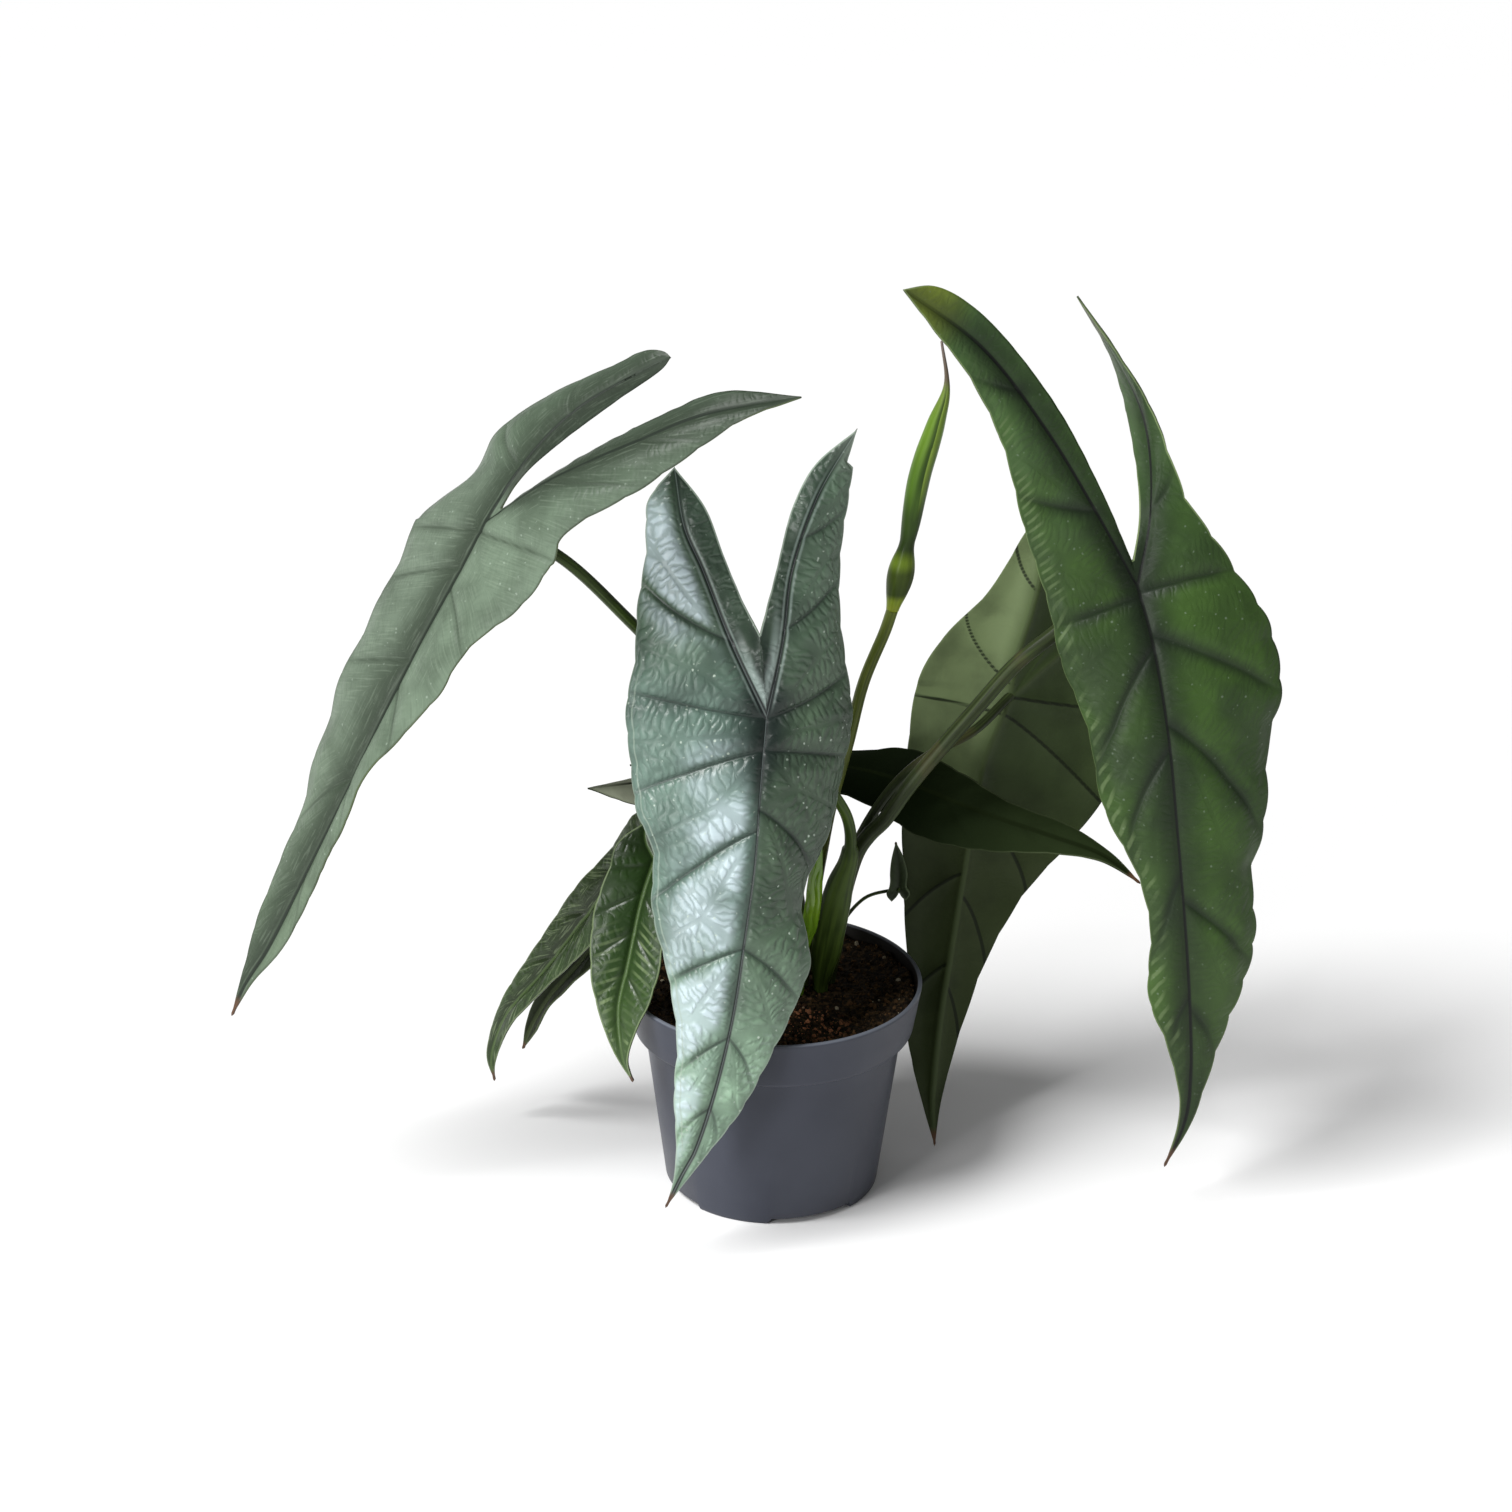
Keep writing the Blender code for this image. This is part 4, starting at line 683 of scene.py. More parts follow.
def blade_sheet(name, leaf, cell):
    """cell is the size of a grid square in mm."""
    dense_rib = curve_points(leaf["rib"])
    rib_rows = int(lengths(dense_rib)[-1] / cell)
    lobe = max(lengths(curve_points(leaf["vein_" + side]))[-1] for side in ("left", "right"))
    lobe_rows = int(lobe / cell)
    rib = resample(dense_rib, rib_rows)
    left = margin(leaf["lobe_left"], leaf["edge_left"], rib_rows, lobe_rows)
    right = margin(leaf["lobe_right"], leaf["edge_right"], rib_rows, lobe_rows)
    settle_tip(rib, left, right, lobe_rows)
    widest = max(np.linalg.norm(edge[lobe_rows:] - rib, axis=1).max() for edge in (left, right))
    columns = int(widest / cell)
    sinus_depth = np.linalg.norm(vec(leaf["inner_left"][-1]) - vec(leaf["rib"][0]))
    inner_columns = max(3, int(sinus_depth / cell))
    parts = []
    for side, outer in (("left", left), ("right", right)):
        parts += half_blade(leaf, side, rib, outer, lobe_rows, columns, inner_columns)
    points, faces, told = welded(parts, (False, True, True, False))
    edge_distance = distances(points, boundary_points(points, faces))
    rail_distance, vein_distance = told["rail"], told["vein"]
    shrink = np.minimum(1, told["width"] / leaf["full_width"])
    fade = ease(np.linalg.norm(points - rib[0], axis=1) / STALK_FADE)
    swollen = ease(told["out"] / QUILT_REACH) ** QUILT_POWER
    quilt = swollen * ease(edge_distance / QUILT_REACH) * shrink * fade
    ruffle = sum(np.sin(2 * pi * told["way"] / period) for period in RUFFLE_PERIODS)
    ruffle = ruffle * bell(edge_distance, RUFFLE_REACH) * shrink * (told["vein"] > told["rail"])
    lift = told["lift"] + leaf["quilt"] * (quilt - QUILT_LEVEL) + RUFFLE * ruffle * fade
    narrow = np.minimum(1, told["width"] / FULL_RIB_WIDTH)
    share = np.where(told["along"] < 0, RIB_LOBE_SHARE + RIB_LOBE_GAIN * (1 + told["along"]),
                     1 - RIB_TIP_LOSS * told["along"])
    depth = leaf.get("vein_depth", 1.0)
    groove = depth * CHANNEL_DEPTH * share * bell(rail_distance, CHANNEL_HALF) * narrow
    side_depth = depth * ease(edge_distance / SIDE_VEIN_MARGIN) * shrink
    groove += SIDE_CHANNEL_DEPTH * bell(vein_distance, SIDE_CHANNEL_HALF) * side_depth
    ridge = leaf["keel"] * share * bell(rail_distance, RIB_HALF) * narrow * fade
    ridge = np.maximum(ridge, SIDE_RIB_DEPTH * bell(vein_distance, SIDE_RIB_HALF) * side_depth)
    flat = np.cross(points[faces[:, 1]] - points[faces[:, 0]], points[faces[:, 2]] - points[faces[:, 0]])
    if np.dot(flat.sum(axis=0), vec(leaf["faces"])) < 0:
        faces = faces[:, ::-1]
    mesh = bpy.data.meshes.new(name)
    mesh.from_pydata((points * MM).tolist(), [], faces.tolist())
    kept = dict(lift=(lift - groove) * MM, ridge=(ridge + groove * GROOVE_BELOW) * MM, rail=rail_distance,
                vein=vein_distance, edge=edge_distance, along=told["along"], across=told["u"],
                crease=told["crease"], inner=told["inner"],
                comb=np.stack([told["way"], told["out"], np.zeros(len(points))], axis=1))
    for key, values in kept.items():
        keep(mesh, key, values)
    return mesh


# %% [markdown]
# ## The net of fine veins
# Between the side veins the skin is puckered into long narrow cells that stand at right angles to the
# nearest vein. A Voronoi texture on the place beside the vein, squeezed along it and stretched away from it,
# draws them: its distance to an edge is nought on a fine vein and largest in the middle of a cell. One
# function draws it, for the relief in Geometry Nodes and for the colour in the material.

# %% The net, for both kinds of tree
CELL_SPREAD = 0.85
NET_WANDER = 5.4
NET_WANDER_SCALE = 140.0
NET_RISE = 0.32
CREASE_REACH = (0.9, 2.6)
NET_FROM_RAIL = (1.2, 2.6)
NET_FROM_VEIN = (0.5, 1.5)
NET_FROM_EDGE = (0.2, 1.6)


def fine_net(tree, numbers, cell_width, cell_length):
    """0 on a fine vein, rising to 1 within a cell. numbers: comb, crease, rail, vein and edge, and body,
    the place in the object in metres."""
    inputs = {"Vector": numbers["body"], "Scale": NET_WANDER_SCALE, "Detail": 2.0}
    wander = add(tree, "ShaderNodeTexNoise", inputs).outputs["Color"]
    moved = stretch(tree, wander, (NET_WANDER, NET_WANDER, 0.0), numbers["comb"])
    parts = add(tree, "ShaderNodeSeparateXYZ", {0: moved}).outputs
    squeezed = [calc(tree, "DIVIDE", part, size) for part, size in zip(parts, (cell_width, cell_length))]
    place = add(tree, "ShaderNodeCombineXYZ", dict(enumerate(squeezed))).outputs[0]
    cells = add(tree, "ShaderNodeTexVoronoi", {"Vector": place, "Scale": 1.0, "Randomness": CELL_SPREAD},
                voronoi_dimensions="2D", feature="DISTANCE_TO_EDGE")
    net = smooth(tree, cells.outputs["Distance"], 0.0, NET_RISE)
    for key, (low, high) in (("crease", CREASE_REACH), ("rail", NET_FROM_RAIL), ("vein", NET_FROM_VEIN),
                             ("edge", NET_FROM_EDGE)):
        net = calc(tree, "MULTIPLY", net, smooth(tree, numbers[key], low, high))
    return net


print("the net starts", NET_FROM_RAIL[0], "mm from the midrib")

# %% [markdown]
# ## The tree that grows a blade
# The sheet gets its lift and its net along its own normals. A copy of it, lowered by the thickness and by
# the ribs, becomes the underside, and the margin is closed between the two. Extruding the sheet makes
# the wall and the underside in one step. Solidify would not know the ribs.

# %% Helpers for trees of geometry
def sockets(group, inputs):
    """Name the inputs of a tree, each with its kind and default, and tell their keys on a modifier."""
    keys = {}
    for name, kind, default in inputs:
        made = group.interface.new_socket(name=name, in_out="INPUT", socket_type="NodeSocket" + kind)
        if default is not None:
            made.default_value = default
        keys[name] = made.identifier
    return keys


def new_tree(name):
    group = bpy.data.node_groups.new(name, "GeometryNodeTree")
    group.interface.new_socket(name="Geometry", in_out="INPUT", socket_type="NodeSocketGeometry")
    group.interface.new_socket(name="Geometry", in_out="OUTPUT", socket_type="NodeSocketGeometry")
    return group


def attribute(tree, name, data_type="FLOAT"):
    made = add(tree, "GeometryNodeInputNamedAttribute", {"Name": name}, data_type=data_type)
    return made.outputs["Attribute"]


def scaled(tree, vector, factor):
    return add(tree, "ShaderNodeVectorMath", {0: vector, "Scale": factor}, operation="SCALE").outputs[0]


def along_normal(tree, distance):
    return scaled(tree, add(tree, "GeometryNodeInputNormal").outputs[0], distance)


def stored(tree, geometry, name, value, data_type="FLOAT", domain="POINT"):
    """Geometry that carries a value under a name."""
    inputs = {"Geometry": geometry, "Name": name, "Value": value}
    made = add(tree, "GeometryNodeStoreNamedAttribute", inputs, data_type=data_type, domain=domain)
    return made.outputs[0]


def tree_end(group, geometry, skin):
    """Every tree ends in real meshes that carry their material."""
    real = add(group, "GeometryNodeRealizeInstances", {"Geometry": geometry})
    dressed = add(group, "GeometryNodeSetMaterial", {"Geometry": real.outputs[0], "Material": skin})
    group.links.new(dressed.outputs[0], add(group, "NodeGroupOutput").inputs[0])


# %% [markdown]
# The normals of the sheet are calmed before the underside is lowered along them. Raw normals cross each
# other where the sheet is creased, and the underside would fold over itself there. The place of each
# lowered point is stored first, so that the extruded faces have only to fetch it.

# %% The blade tree
CALMING_ROUNDS = 8
WELD_DISTANCE = 1e-6


def blade_tree():
    group = new_tree("blade")
    ids = sockets(group, (
        ("Thickness", "Float", 0.0008), ("Net height", "Float", 0.0002), ("Cell width", "Float", 2.7),
        ("Cell length", "Float", 9.0), ("Skin", "Material", None)))
    start = add(group, "NodeGroupInput").outputs
    lifted = add(group, "GeometryNodeSetPosition", {
        "Geometry": start["Geometry"], "Offset": along_normal(group, attribute(group, "lift"))})

    numbers = {key: attribute(group, key) for key in ("crease", "rail", "vein", "edge")}
    numbers["comb"] = attribute(group, "comb", "FLOAT_VECTOR")
    numbers["body"] = add(group, "GeometryNodeInputPosition").outputs[0]
    net = fine_net(group, numbers, start["Cell width"], start["Cell length"])
    height = calc(group, "MULTIPLY", net, start["Net height"])
    upper = add(group, "GeometryNodeSetPosition", {
        "Geometry": lifted.outputs[0], "Offset": along_normal(group, height)})

    depth = calc(group, "ADD", attribute(group, "ridge"), start["Thickness"])
    normal = add(group, "GeometryNodeInputNormal").outputs[0]
    calm = add(group, "GeometryNodeBlurAttribute", {"Value": normal, "Iterations": CALMING_ROUNDS},
               data_type="FLOAT_VECTOR")
    down = add(group, "ShaderNodeVectorMath", {0: calm.outputs["Value"]}, operation="NORMALIZE").outputs[0]
    drop = scaled(group, down, calc(group, "MULTIPLY", depth, -1.0))
    upper_point = add(group, "GeometryNodeInputPosition").outputs[0]
    low_point = add(group, "ShaderNodeVectorMath", {0: upper_point, 1: drop}).outputs[0]
    sheet = stored(group, upper.outputs[0], "low", low_point, "FLOAT_VECTOR")
    wall = add(group, "GeometryNodeExtrudeMesh", {
        "Mesh": sheet, "Offset Scale": 0.0, "Individual": False}, mode="FACES")
    below = add(group, "GeometryNodeSetPosition", {
        "Geometry": wall.outputs["Mesh"], "Selection": wall.outputs["Top"],
        "Position": attribute(group, "low", "FLOAT_VECTOR")})
    marked = stored(group, below.outputs[0], "under", 1.0, domain="FACE")
    turned = add(group, "GeometryNodeFlipFaces", {"Mesh": marked})
    both = add(group, "GeometryNodeJoinGeometry")
    group.links.new(turned.outputs[0], both.inputs[0])
    group.links.new(sheet, both.inputs[0])
    closed = add(group, "GeometryNodeMergeByDistance", {
        "Geometry": both.outputs[0], "Distance": WELD_DISTANCE})
    rounded = add(group, "GeometryNodeSetShadeSmooth", {"Geometry": closed.outputs[0]})
    tree_end(group, rounded.outputs[0], start["Skin"])
    return group, ids


blade_group, blade_ids = blade_tree()
print("the blade tree has", len(blade_group.nodes), "nodes and the inputs", list(blade_ids))

# %% [markdown]
# A modifier only holds a recipe, and a part in a library has to carry its real shape. So what the modifiers
# make is turned into a plain mesh. Each finished piece is then hung on the body that it rides on, and the
# node of the CAD model that it stands in for is hidden.

# %% From a tree's result to a plain piece
def plain(obj):
    """Turn what the modifiers make of an object into its own plain mesh."""
    evaluated = obj.evaluated_get(bpy.context.evaluated_depsgraph_get())
    mesh = bpy.data.meshes.new_from_object(evaluated)
    obj.modifiers.clear()
    old = obj.data
    obj.data = mesh
    bpy.data.meshes.remove(old)
    mesh.name = obj.name
    return obj


def grown(obj, group, ids, values):
    modifier = obj.modifiers.new("grown", "NODES")
    modifier.node_group = group
    for name, value in values.items():
        modifier[ids[name]] = value
    return plain(obj)


def placed(name, mesh):
    obj = bpy.data.objects.new(name, mesh)
    bpy.context.scene.collection.objects.link(obj)
    return obj


def finish_piece(piece, nodes):
    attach(piece, "root")
    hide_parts(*nodes)
    faces = sum(len(p.vertices) - 2 for p in piece.data.polygons)
    print(piece.name, "has", faces, "triangles")

# %% [markdown]
# ## The skin of a leaf
# A leaf has one wax-covered skin whose colour changes with its veins: darker in the channels, where shade is
# painted, paler where the net swells, where light is painted, with a fine line at the margin. Painting that
# as a picture would tie it to one leaf.
# Here every colour is mixed from the numbers that the sheet carries, so one function dresses all nine
# leaves, and each leaf has a short list of its own colours and strengths. The skin is laid in glazes: each
# of the functions below takes the colour so far and gives back the next one.

# %% What a plain skin is like, and the numbers that its layers read
PLAIN_SKIN = dict(
    gloss=0.42, shine=0.2, coat=0.0, net=0.3, bump=0.3, specks=0.0, patches=0.3, fresh=0.0, line=0.7,
    line_half=0.8, band=0.3, band_half=3.0, rail_half=1.1, halo=0.4, halo_half=4.5, halo_far=1.0, fold=0.0,
    crown=0.0, inner=0.0, rail_line=0.0, lobe_edges=0.0, second_line=0.0, margin_line=0.8,
    under_veins=0.35, streaks=0.0, silver=0.0, puckers=None)
PATCH_SCALE = 55.0
BROAD_SCALE = 34.0
GRAIN_SCALE = 900.0


def new_material(name):
    material = bpy.data.materials.new(name)
    material.use_nodes = True
    tree = material.node_tree
    body = add(tree, "ShaderNodeTexCoord").outputs["Object"]
    return material, tree, tree.nodes["Principled BSDF"], body


def carried(tree, name, output="Fac"):
    """What a mesh carries under a name."""
    return add(tree, "ShaderNodeAttribute", attribute_name=name).outputs[output]


def dress(tree, shader, colour, rough, shine, height, strength, depth):
    """Give a shader its colour, roughness and shine, and a bump from a height."""
    bump = add(tree, "ShaderNodeBump", {"Height": height, "Strength": strength, "Distance": depth})
    fill(tree, shader, {"Base Color": colour, "Roughness": rough, "Specular IOR Level": shine,
                        "Normal": bump.outputs[0]})


def skin_numbers(tree, body, cell):
    """All that a layer may ask about a point of the skin."""
    keys = ("rail", "vein", "edge", "along", "across", "crease", "inner", "under")
    at = {key: carried(tree, key) for key in keys}
    at["comb"] = carried(tree, "comb", "Vector")
    at["body"] = body
    at["from_stalk"] = calc(tree, "ABSOLUTE", at["along"])
    at["patches"] = noise(tree, body, PATCH_SCALE, 4.0)
    at["broad"] = noise(tree, body, BROAD_SCALE, 2.0)
    at["grain"] = noise(tree, body, GRAIN_SCALE, 2.0)
    at["cells"] = fine_net(tree, at, *cell)
    return at


print("a plain skin has", len(PLAIN_SKIN), "strengths")

# %% [markdown]
# The first layer is the ground: one colour for each half, others for the lower end and for the lobes, and
# darker and fresher clouds on them. On the front leaf the half that faces the light has the lighter colour,
# which is painted light. The net is laid over it as painted shade in the fine veins and painted light on the
# swollen cells: a darker and a lighter copy of the same colour, so it never brings in a hue of its own.

# %% The ground colours and the net
NET_PAINTED_LIGHT = (1.25, 1.25, 1.25, 1.0)
NET_PAINTED_SHADE = (0.55, 0.58, 0.55, 1.0)
TAIL_BLEND = 0.002


def ground(tree, at, look, colours, _):
    # On the front leaf the left half, which faces the light, gets the lighter colour: painted light
    colour = mix(tree, smooth(tree, at["across"], -2.0, 2.0), colours["left"], colours["right"])
    colour = mix(tree, smooth(tree, at["along"], 0.3, 0.85), colour, colours["low"])
    colour = mix(tree, near(tree, at["along"], -0.45, 0.02), colour, colours["lobe"])
    if look["fresh"]:
        fresh = smooth(tree, at["broad"], 0.42, 0.6, 0.0, look["fresh"])
        colour = mix(tree, fresh, colour, colours["fresh"])
    clouds = smooth(tree, at["patches"], 0.35, 0.72, 0.0, look["patches"])
    return mix(tree, clouds, colour, colours["vein"])


def lobe_tips(tree, at, look, colours, colour):
    """The tips of the lobes, in painted shade on the front leaf and in their own yellow on the right
    one, and the tip of the one that lies beyond tail_from, in metres.
    """
    if "lobe_tip" in colours:
        # Painted shade on the front leaf's lobe tips; the right leaf's yellow tips are their own colour
        colour = mix(tree, near(tree, at["along"], -0.94, -0.78, 0.9), colour, colours["lobe_tip"])
    if "tail" in colours:
        start = look["tail_from"]
        beyond = smooth(tree, axis(tree, at["body"], 0), start, start + TAIL_BLEND)
        tail = times(tree, near(tree, at["along"], -0.97, -0.8, 0.9), beyond)
        colour = mix(tree, tail, colour, colours["tail"])
    return colour


def net_painted_shading(tree, at, look, colours, colour):
    # Painted light on the swollen cells and painted shade in the fine veins
    lighter = mix(tree, 1.0, colour, NET_PAINTED_LIGHT, "MULTIPLY")
    darker = mix(tree, 1.0, colour, NET_PAINTED_SHADE, "MULTIPLY")
    return mix(tree, look["net"], colour, mix(tree, at["cells"], darker, lighter))


# %% [markdown]
# Silver lies on the front leaf like a breath on glass: on the left half, which faces the light, in clouds,
# between the veins and never on them. It is partly the leaf's own silvering and partly a painted sheen where
# that half catches the light. So its share is a product. Each factor is 1 where the silvering may be and
# falls to 0 where it may not. The pale specks are dust and drops, thrown on by a Voronoi texture and thinned
# by a noise.

# %% Silvering with painted sheen, and specks
SPECK = rgb(176, 190, 176)
SPECK_SCALE = 300.0
SPECK_CHANCE_SCALE = 700.0


def silver(tree, at, look, colours, colour):
    if not look["silver"]:
        return colour
    out = axis(tree, at["comb"], 1)
    # Painted sheen: only the left half, which faces the light, gets the silvery colour
    half = times(tree, smooth(tree, at["across"], -36.0, -19.0), near(tree, at["across"], -7.0, -2.0))
    lobe = times(tree, smooth(tree, at["along"], -0.92, -0.75),
                 near(tree, at["along"], -0.45, -0.2, look["silver"]))
    cloud = calc(tree, "MAXIMUM", smooth(tree, at["broad"], 0.39, 0.56, 0.2, look["silver"]), lobe)
    off_stalk = calc(tree, "MAXIMUM", near(tree, at["along"], -0.42, -0.2),
                     smooth(tree, at["along"], 0.02, 0.13))
    within = smooth(tree, at["cells"], 0.0, 1.0, 0.6, 1.0)
    share = times(tree, smooth(tree, out, 0.6, 4.5), half, off_stalk, cloud, within)
    return mix(tree, share, colour, colours["silver"])


def specks(tree, at, look, colours, colour):
    if not look["specks"]:
        return colour
    inputs = {"Vector": at["body"], "Scale": SPECK_SCALE}
    dots = add(tree, "ShaderNodeTexVoronoi", inputs).outputs["Distance"]
    rare = smooth(tree, noise(tree, at["body"], SPECK_CHANCE_SCALE, 0.0), 0.5, 0.62)
    return mix(tree, times(tree, near(tree, dots, 0.1, 0.2, look["specks"]), rare), colour, SPECK)


# %% [markdown]
# The veins are darker than the skin, because they lie in channels that hold shade. A real render of the
# channels gives only part of that, so each vein also gets a narrow dark line and a wide soft band. Round
# the stalk, where all veins meet, the bands grow together into a dark patch.

# %% Dark lines and bands
def vein_bands(tree, at, look, colours, colour):
    inward = smooth(tree, at["edge"], 1.0, 12.0, 0.4, 1.0)
    band = times(tree, near(tree, at["vein"], 0.3, look["band_half"], look["band"]), inward)
    colour = mix(tree, band, colour, colours["vein"])
    line = times(tree, near(tree, at["vein"], 0.2, look["line_half"], look["line"]), inward)
    colour = mix(tree, line, colour, colours["vein"])
    halo = times(tree, near(tree, at["rail"], 0.5, look["halo_half"], look["halo"]),
                 smooth(tree, at["from_stalk"], 0.04, 0.25, 1.0, look["halo_far"]))
    return mix(tree, halo, colour, colours["vein"])


def folds(tree, at, look, colours, colour):
    """Painted shade in the fold along the midrib and round the stalk, and on the lobes' inner strips, and a
    painted sheen near the sinus.
    """
    if look["fold"]:
        shaded = calc(tree, "MAXIMUM", near(tree, at["across"], -2.0, 0.0),
                      near(tree, at["along"], -0.15, -0.02))
        fold = times(tree, near(tree, at["rail"], 0.5, look["fold_half"], look["fold"]), shaded)
        colour = mix(tree, fold, colour, colours["vein"])
    if look["crown"]:
        crown = times(tree, near(tree, at["from_stalk"], 0.04, 0.17, look["crown"]),
                      near(tree, at["rail"], 1.0, 18.0))
        colour = mix(tree, crown, colour, colours["vein"])
    if look["inner"]:
        strip = calc(tree, "MULTIPLY", at["inner"], look["inner"])
        colour = mix(tree, strip, colour, colours["vein"])
        # Painted sheen: a pale patch beside the basal veins near the sinus
        patch = times(tree, smooth(tree, at["rail"], 0.8, 2.0),
                      near(tree, at["from_stalk"], 0.1, 0.3, look["sinus"]), at["inner"],
                      near(tree, at["rail"], 2.5, 6.0))
        colour = mix(tree, patch, colour, colours["light"])
    return colour


# %% [markdown]
# Puckers are the ribs that stand in a row along the margin of the glossy leaves, and their pale tops are a
# painted highlight. A sine along the blade makes the row, and a noise added to its angle breaks the beat.
# Streaks are longer: they follow the side veins, so they are a noise that is stretched along the comb.

# %% Painted pucker highlights and streaks
def puckers(tree, at, look, colours, colour):
    if not look["puckers"]:
        return colour
    # Painted highlight: pale tops on a row of puckers near the margin
    strength, count, reach, lean, first, last = look["puckers"]
    turn = calc(tree, "ADD", calc(tree, "MULTIPLY", at["along"], 2 * pi * count),
                calc(tree, "MULTIPLY", at["edge"], lean))
    turn = calc(tree, "ADD", turn, calc(tree, "MULTIPLY", at["patches"], 6.0))
    row = times(tree, smooth(tree, calc(tree, "SINE", turn), 0.1, 0.9), smooth(tree, at["edge"], 0.8, 1.8),
                near(tree, at["edge"], 0.5 * reach, reach, strength))
    share = times(tree, row, near(tree, at["across"], -1.5, last),
                  smooth(tree, at["along"], first, first + 0.12),
                  smooth(tree, at["broad"], 0.42, 0.57, 0.15, 1.0), smooth(tree, at["rail"], 1.0, 5.0))
    return mix(tree, share, colour, colours["light"])


def streaks(tree, at, look, colours, colour):
    if not look["streaks"]:
        return colour
    strands = noise(tree, stretch(tree, at["comb"], (0.1, 1.3, 0.0)), 1.0, 3.0)
    pale = smooth(tree, strands, 0.52, 0.68, 0.0, look["streaks"])
    colour = mix(tree, pale, colour, colours["light"])
    return mix(tree, near(tree, strands, 0.34, 0.46, look["streaks"]), colour, colours["vein"])


# %% [markdown]
# The midrib is drawn last on the upper side: dark, with a pale edge on each side of it in the lobes. The
# margin has a pale line, partly its own pale rim and partly a painted highlight where the edge catches the
# light, and the front leaf a second pale line beside it, a painted highlight where the skin is folded up.

# %% The midrib and the margin
def rail_lines(tree, at, look, colours, colour):
    half = look["rail_half"]
    beside_rail = times(tree, smooth(tree, at["rail"], half, half + 0.4),
                        near(tree, at["rail"], half + 0.5, half + 1.3))
    in_lobe = near(tree, at["along"], -0.12, 0.0, look["lobe_edges"])
    edges = times(tree, beside_rail, in_lobe, smooth(tree, at["along"], -0.9, -0.6))
    colour = mix(tree, edges, colour, colours["light"])
    rail = times(tree, near(tree, at["rail"], half * 0.5, half * 1.2),
                 smooth(tree, at["along"], -0.95, -0.7, 0.3, 1.0))
    colour = mix(tree, rail, colour, colours["rail"])
    return mix(tree, near(tree, at["rail"], 0.1, 0.45, look["rail_line"]), colour, colours["light"])


def margin_lines(tree, at, look, colours, colour):
    # Pale margin line: partly the rim's own colour and partly a painted highlight
    colour = mix(tree, near(tree, at["edge"], 0.35, 0.8, look["margin_line"]), colour, colours["margin"])
    if look["second_line"]:
        # Painted highlight along the fold beside the front leaf's margin
        fold_highlight_share = times(tree, smooth(tree, at["edge"], 2.1, 2.5),
                            near(tree, at["edge"], 2.7, 3.1, look["second_line"]),
                            near(tree, at["across"], -6.0, -4.0), smooth(tree, at["along"], -0.3, 0.0))
        colour = mix(tree, fold_highlight_share, colour, colours["margin"])
    return colour


# %% [markdown]
# The underside is duller and lighter, and its veins are ridges; on the back leaf its right half is darker,
# which is painted shade. It is one more layer, laid only where the attribute "under" is 1. The drip tip is
# dry and brown on both sides.

# %% The underside, and the whole skin
DRY = rgb(84, 62, 46)
UNDERSIDE = rgb(88, 102, 68)
COAT_ROUGHNESS = 0.22
SKIN_RELIEF = 0.0004


def underside(tree, at, look, colours, colour):
    plain_under = colours.get("under", UNDERSIDE)
    right = colours.get("under_right", plain_under)
    low_end = colours.get("under_low", plain_under)
    # Painted shade: the back leaf's underside is darker on its right half
    below = mix(tree, smooth(tree, at["across"], -8.0, 4.0), plain_under, right)
    below = mix(tree, smooth(tree, at["along"], 0.05, 0.4), below, low_end)
    below = mix(tree, smooth(tree, at["patches"], 0.4, 0.7, 0.0, 0.3), below, colours["vein"])
    below = mix(tree, near(tree, at["vein"], 0.4, 0.95, look["under_veins"]), below, colours["vein"])
    below = mix(tree, near(tree, at["rail"], 0.4, 1.1, look["under_veins"]), below, colours["rail"])
    colour = mix(tree, at["under"], colour, below)
    return mix(tree, smooth(tree, at["along"], 0.955, 0.975), colour, DRY)


SKIN_LAYERS = (ground, lobe_tips, net_painted_shading, silver, specks, vein_bands, folds, puckers, streaks, rail_lines,
               margin_lines, underside)


def leaf_skin(name, look, colours):
    """colours: left, right, low, lobe, vein, rail, light (by the rail) and margin, and for some leaves
    silver, fresh, lobe_tip, tail, under, under_right and under_low."""
    look = {**PLAIN_SKIN, **look}
    material, tree, shader, body = new_material(name)
    at = skin_numbers(tree, body, look["cell"])
    colour = None
    for layer in SKIN_LAYERS:
        colour = layer(tree, at, look, colours, colour)
    rough = calc(tree, "ADD", calc(tree, "MULTIPLY", at["grain"], 0.16), look["gloss"] - 0.08)
    fine = calc(tree, "ADD", at["cells"], calc(tree, "MULTIPLY", at["grain"], 0.2))
    dress(tree, shader, colour, rough, look["shine"], fine, look["bump"], SKIN_RELIEF)
    shader.inputs["Coat Weight"].default_value = look["coat"]
    shader.inputs["Coat Roughness"].default_value = COAT_ROUGHNESS
    return material


print("a leaf's skin has", len(SKIN_LAYERS), "layers")

# %% [markdown]
# ## The nine leaves
# The front leaf is silvered on its left half, which faces the light, and dull on its right half: that half
# is painted lighter, and its silvering is partly its own and partly a painted sheen. The others go from
# grey-green to a deep glossy green, and the flat one is painted near-black with shade. The back leaf turns
# its olive underside to the viewer, with painted shade on the underside's right half.
# Each leaf below has the list of its colours, as the eye sees them in the photograph, and the list of how
# strong its layers are.

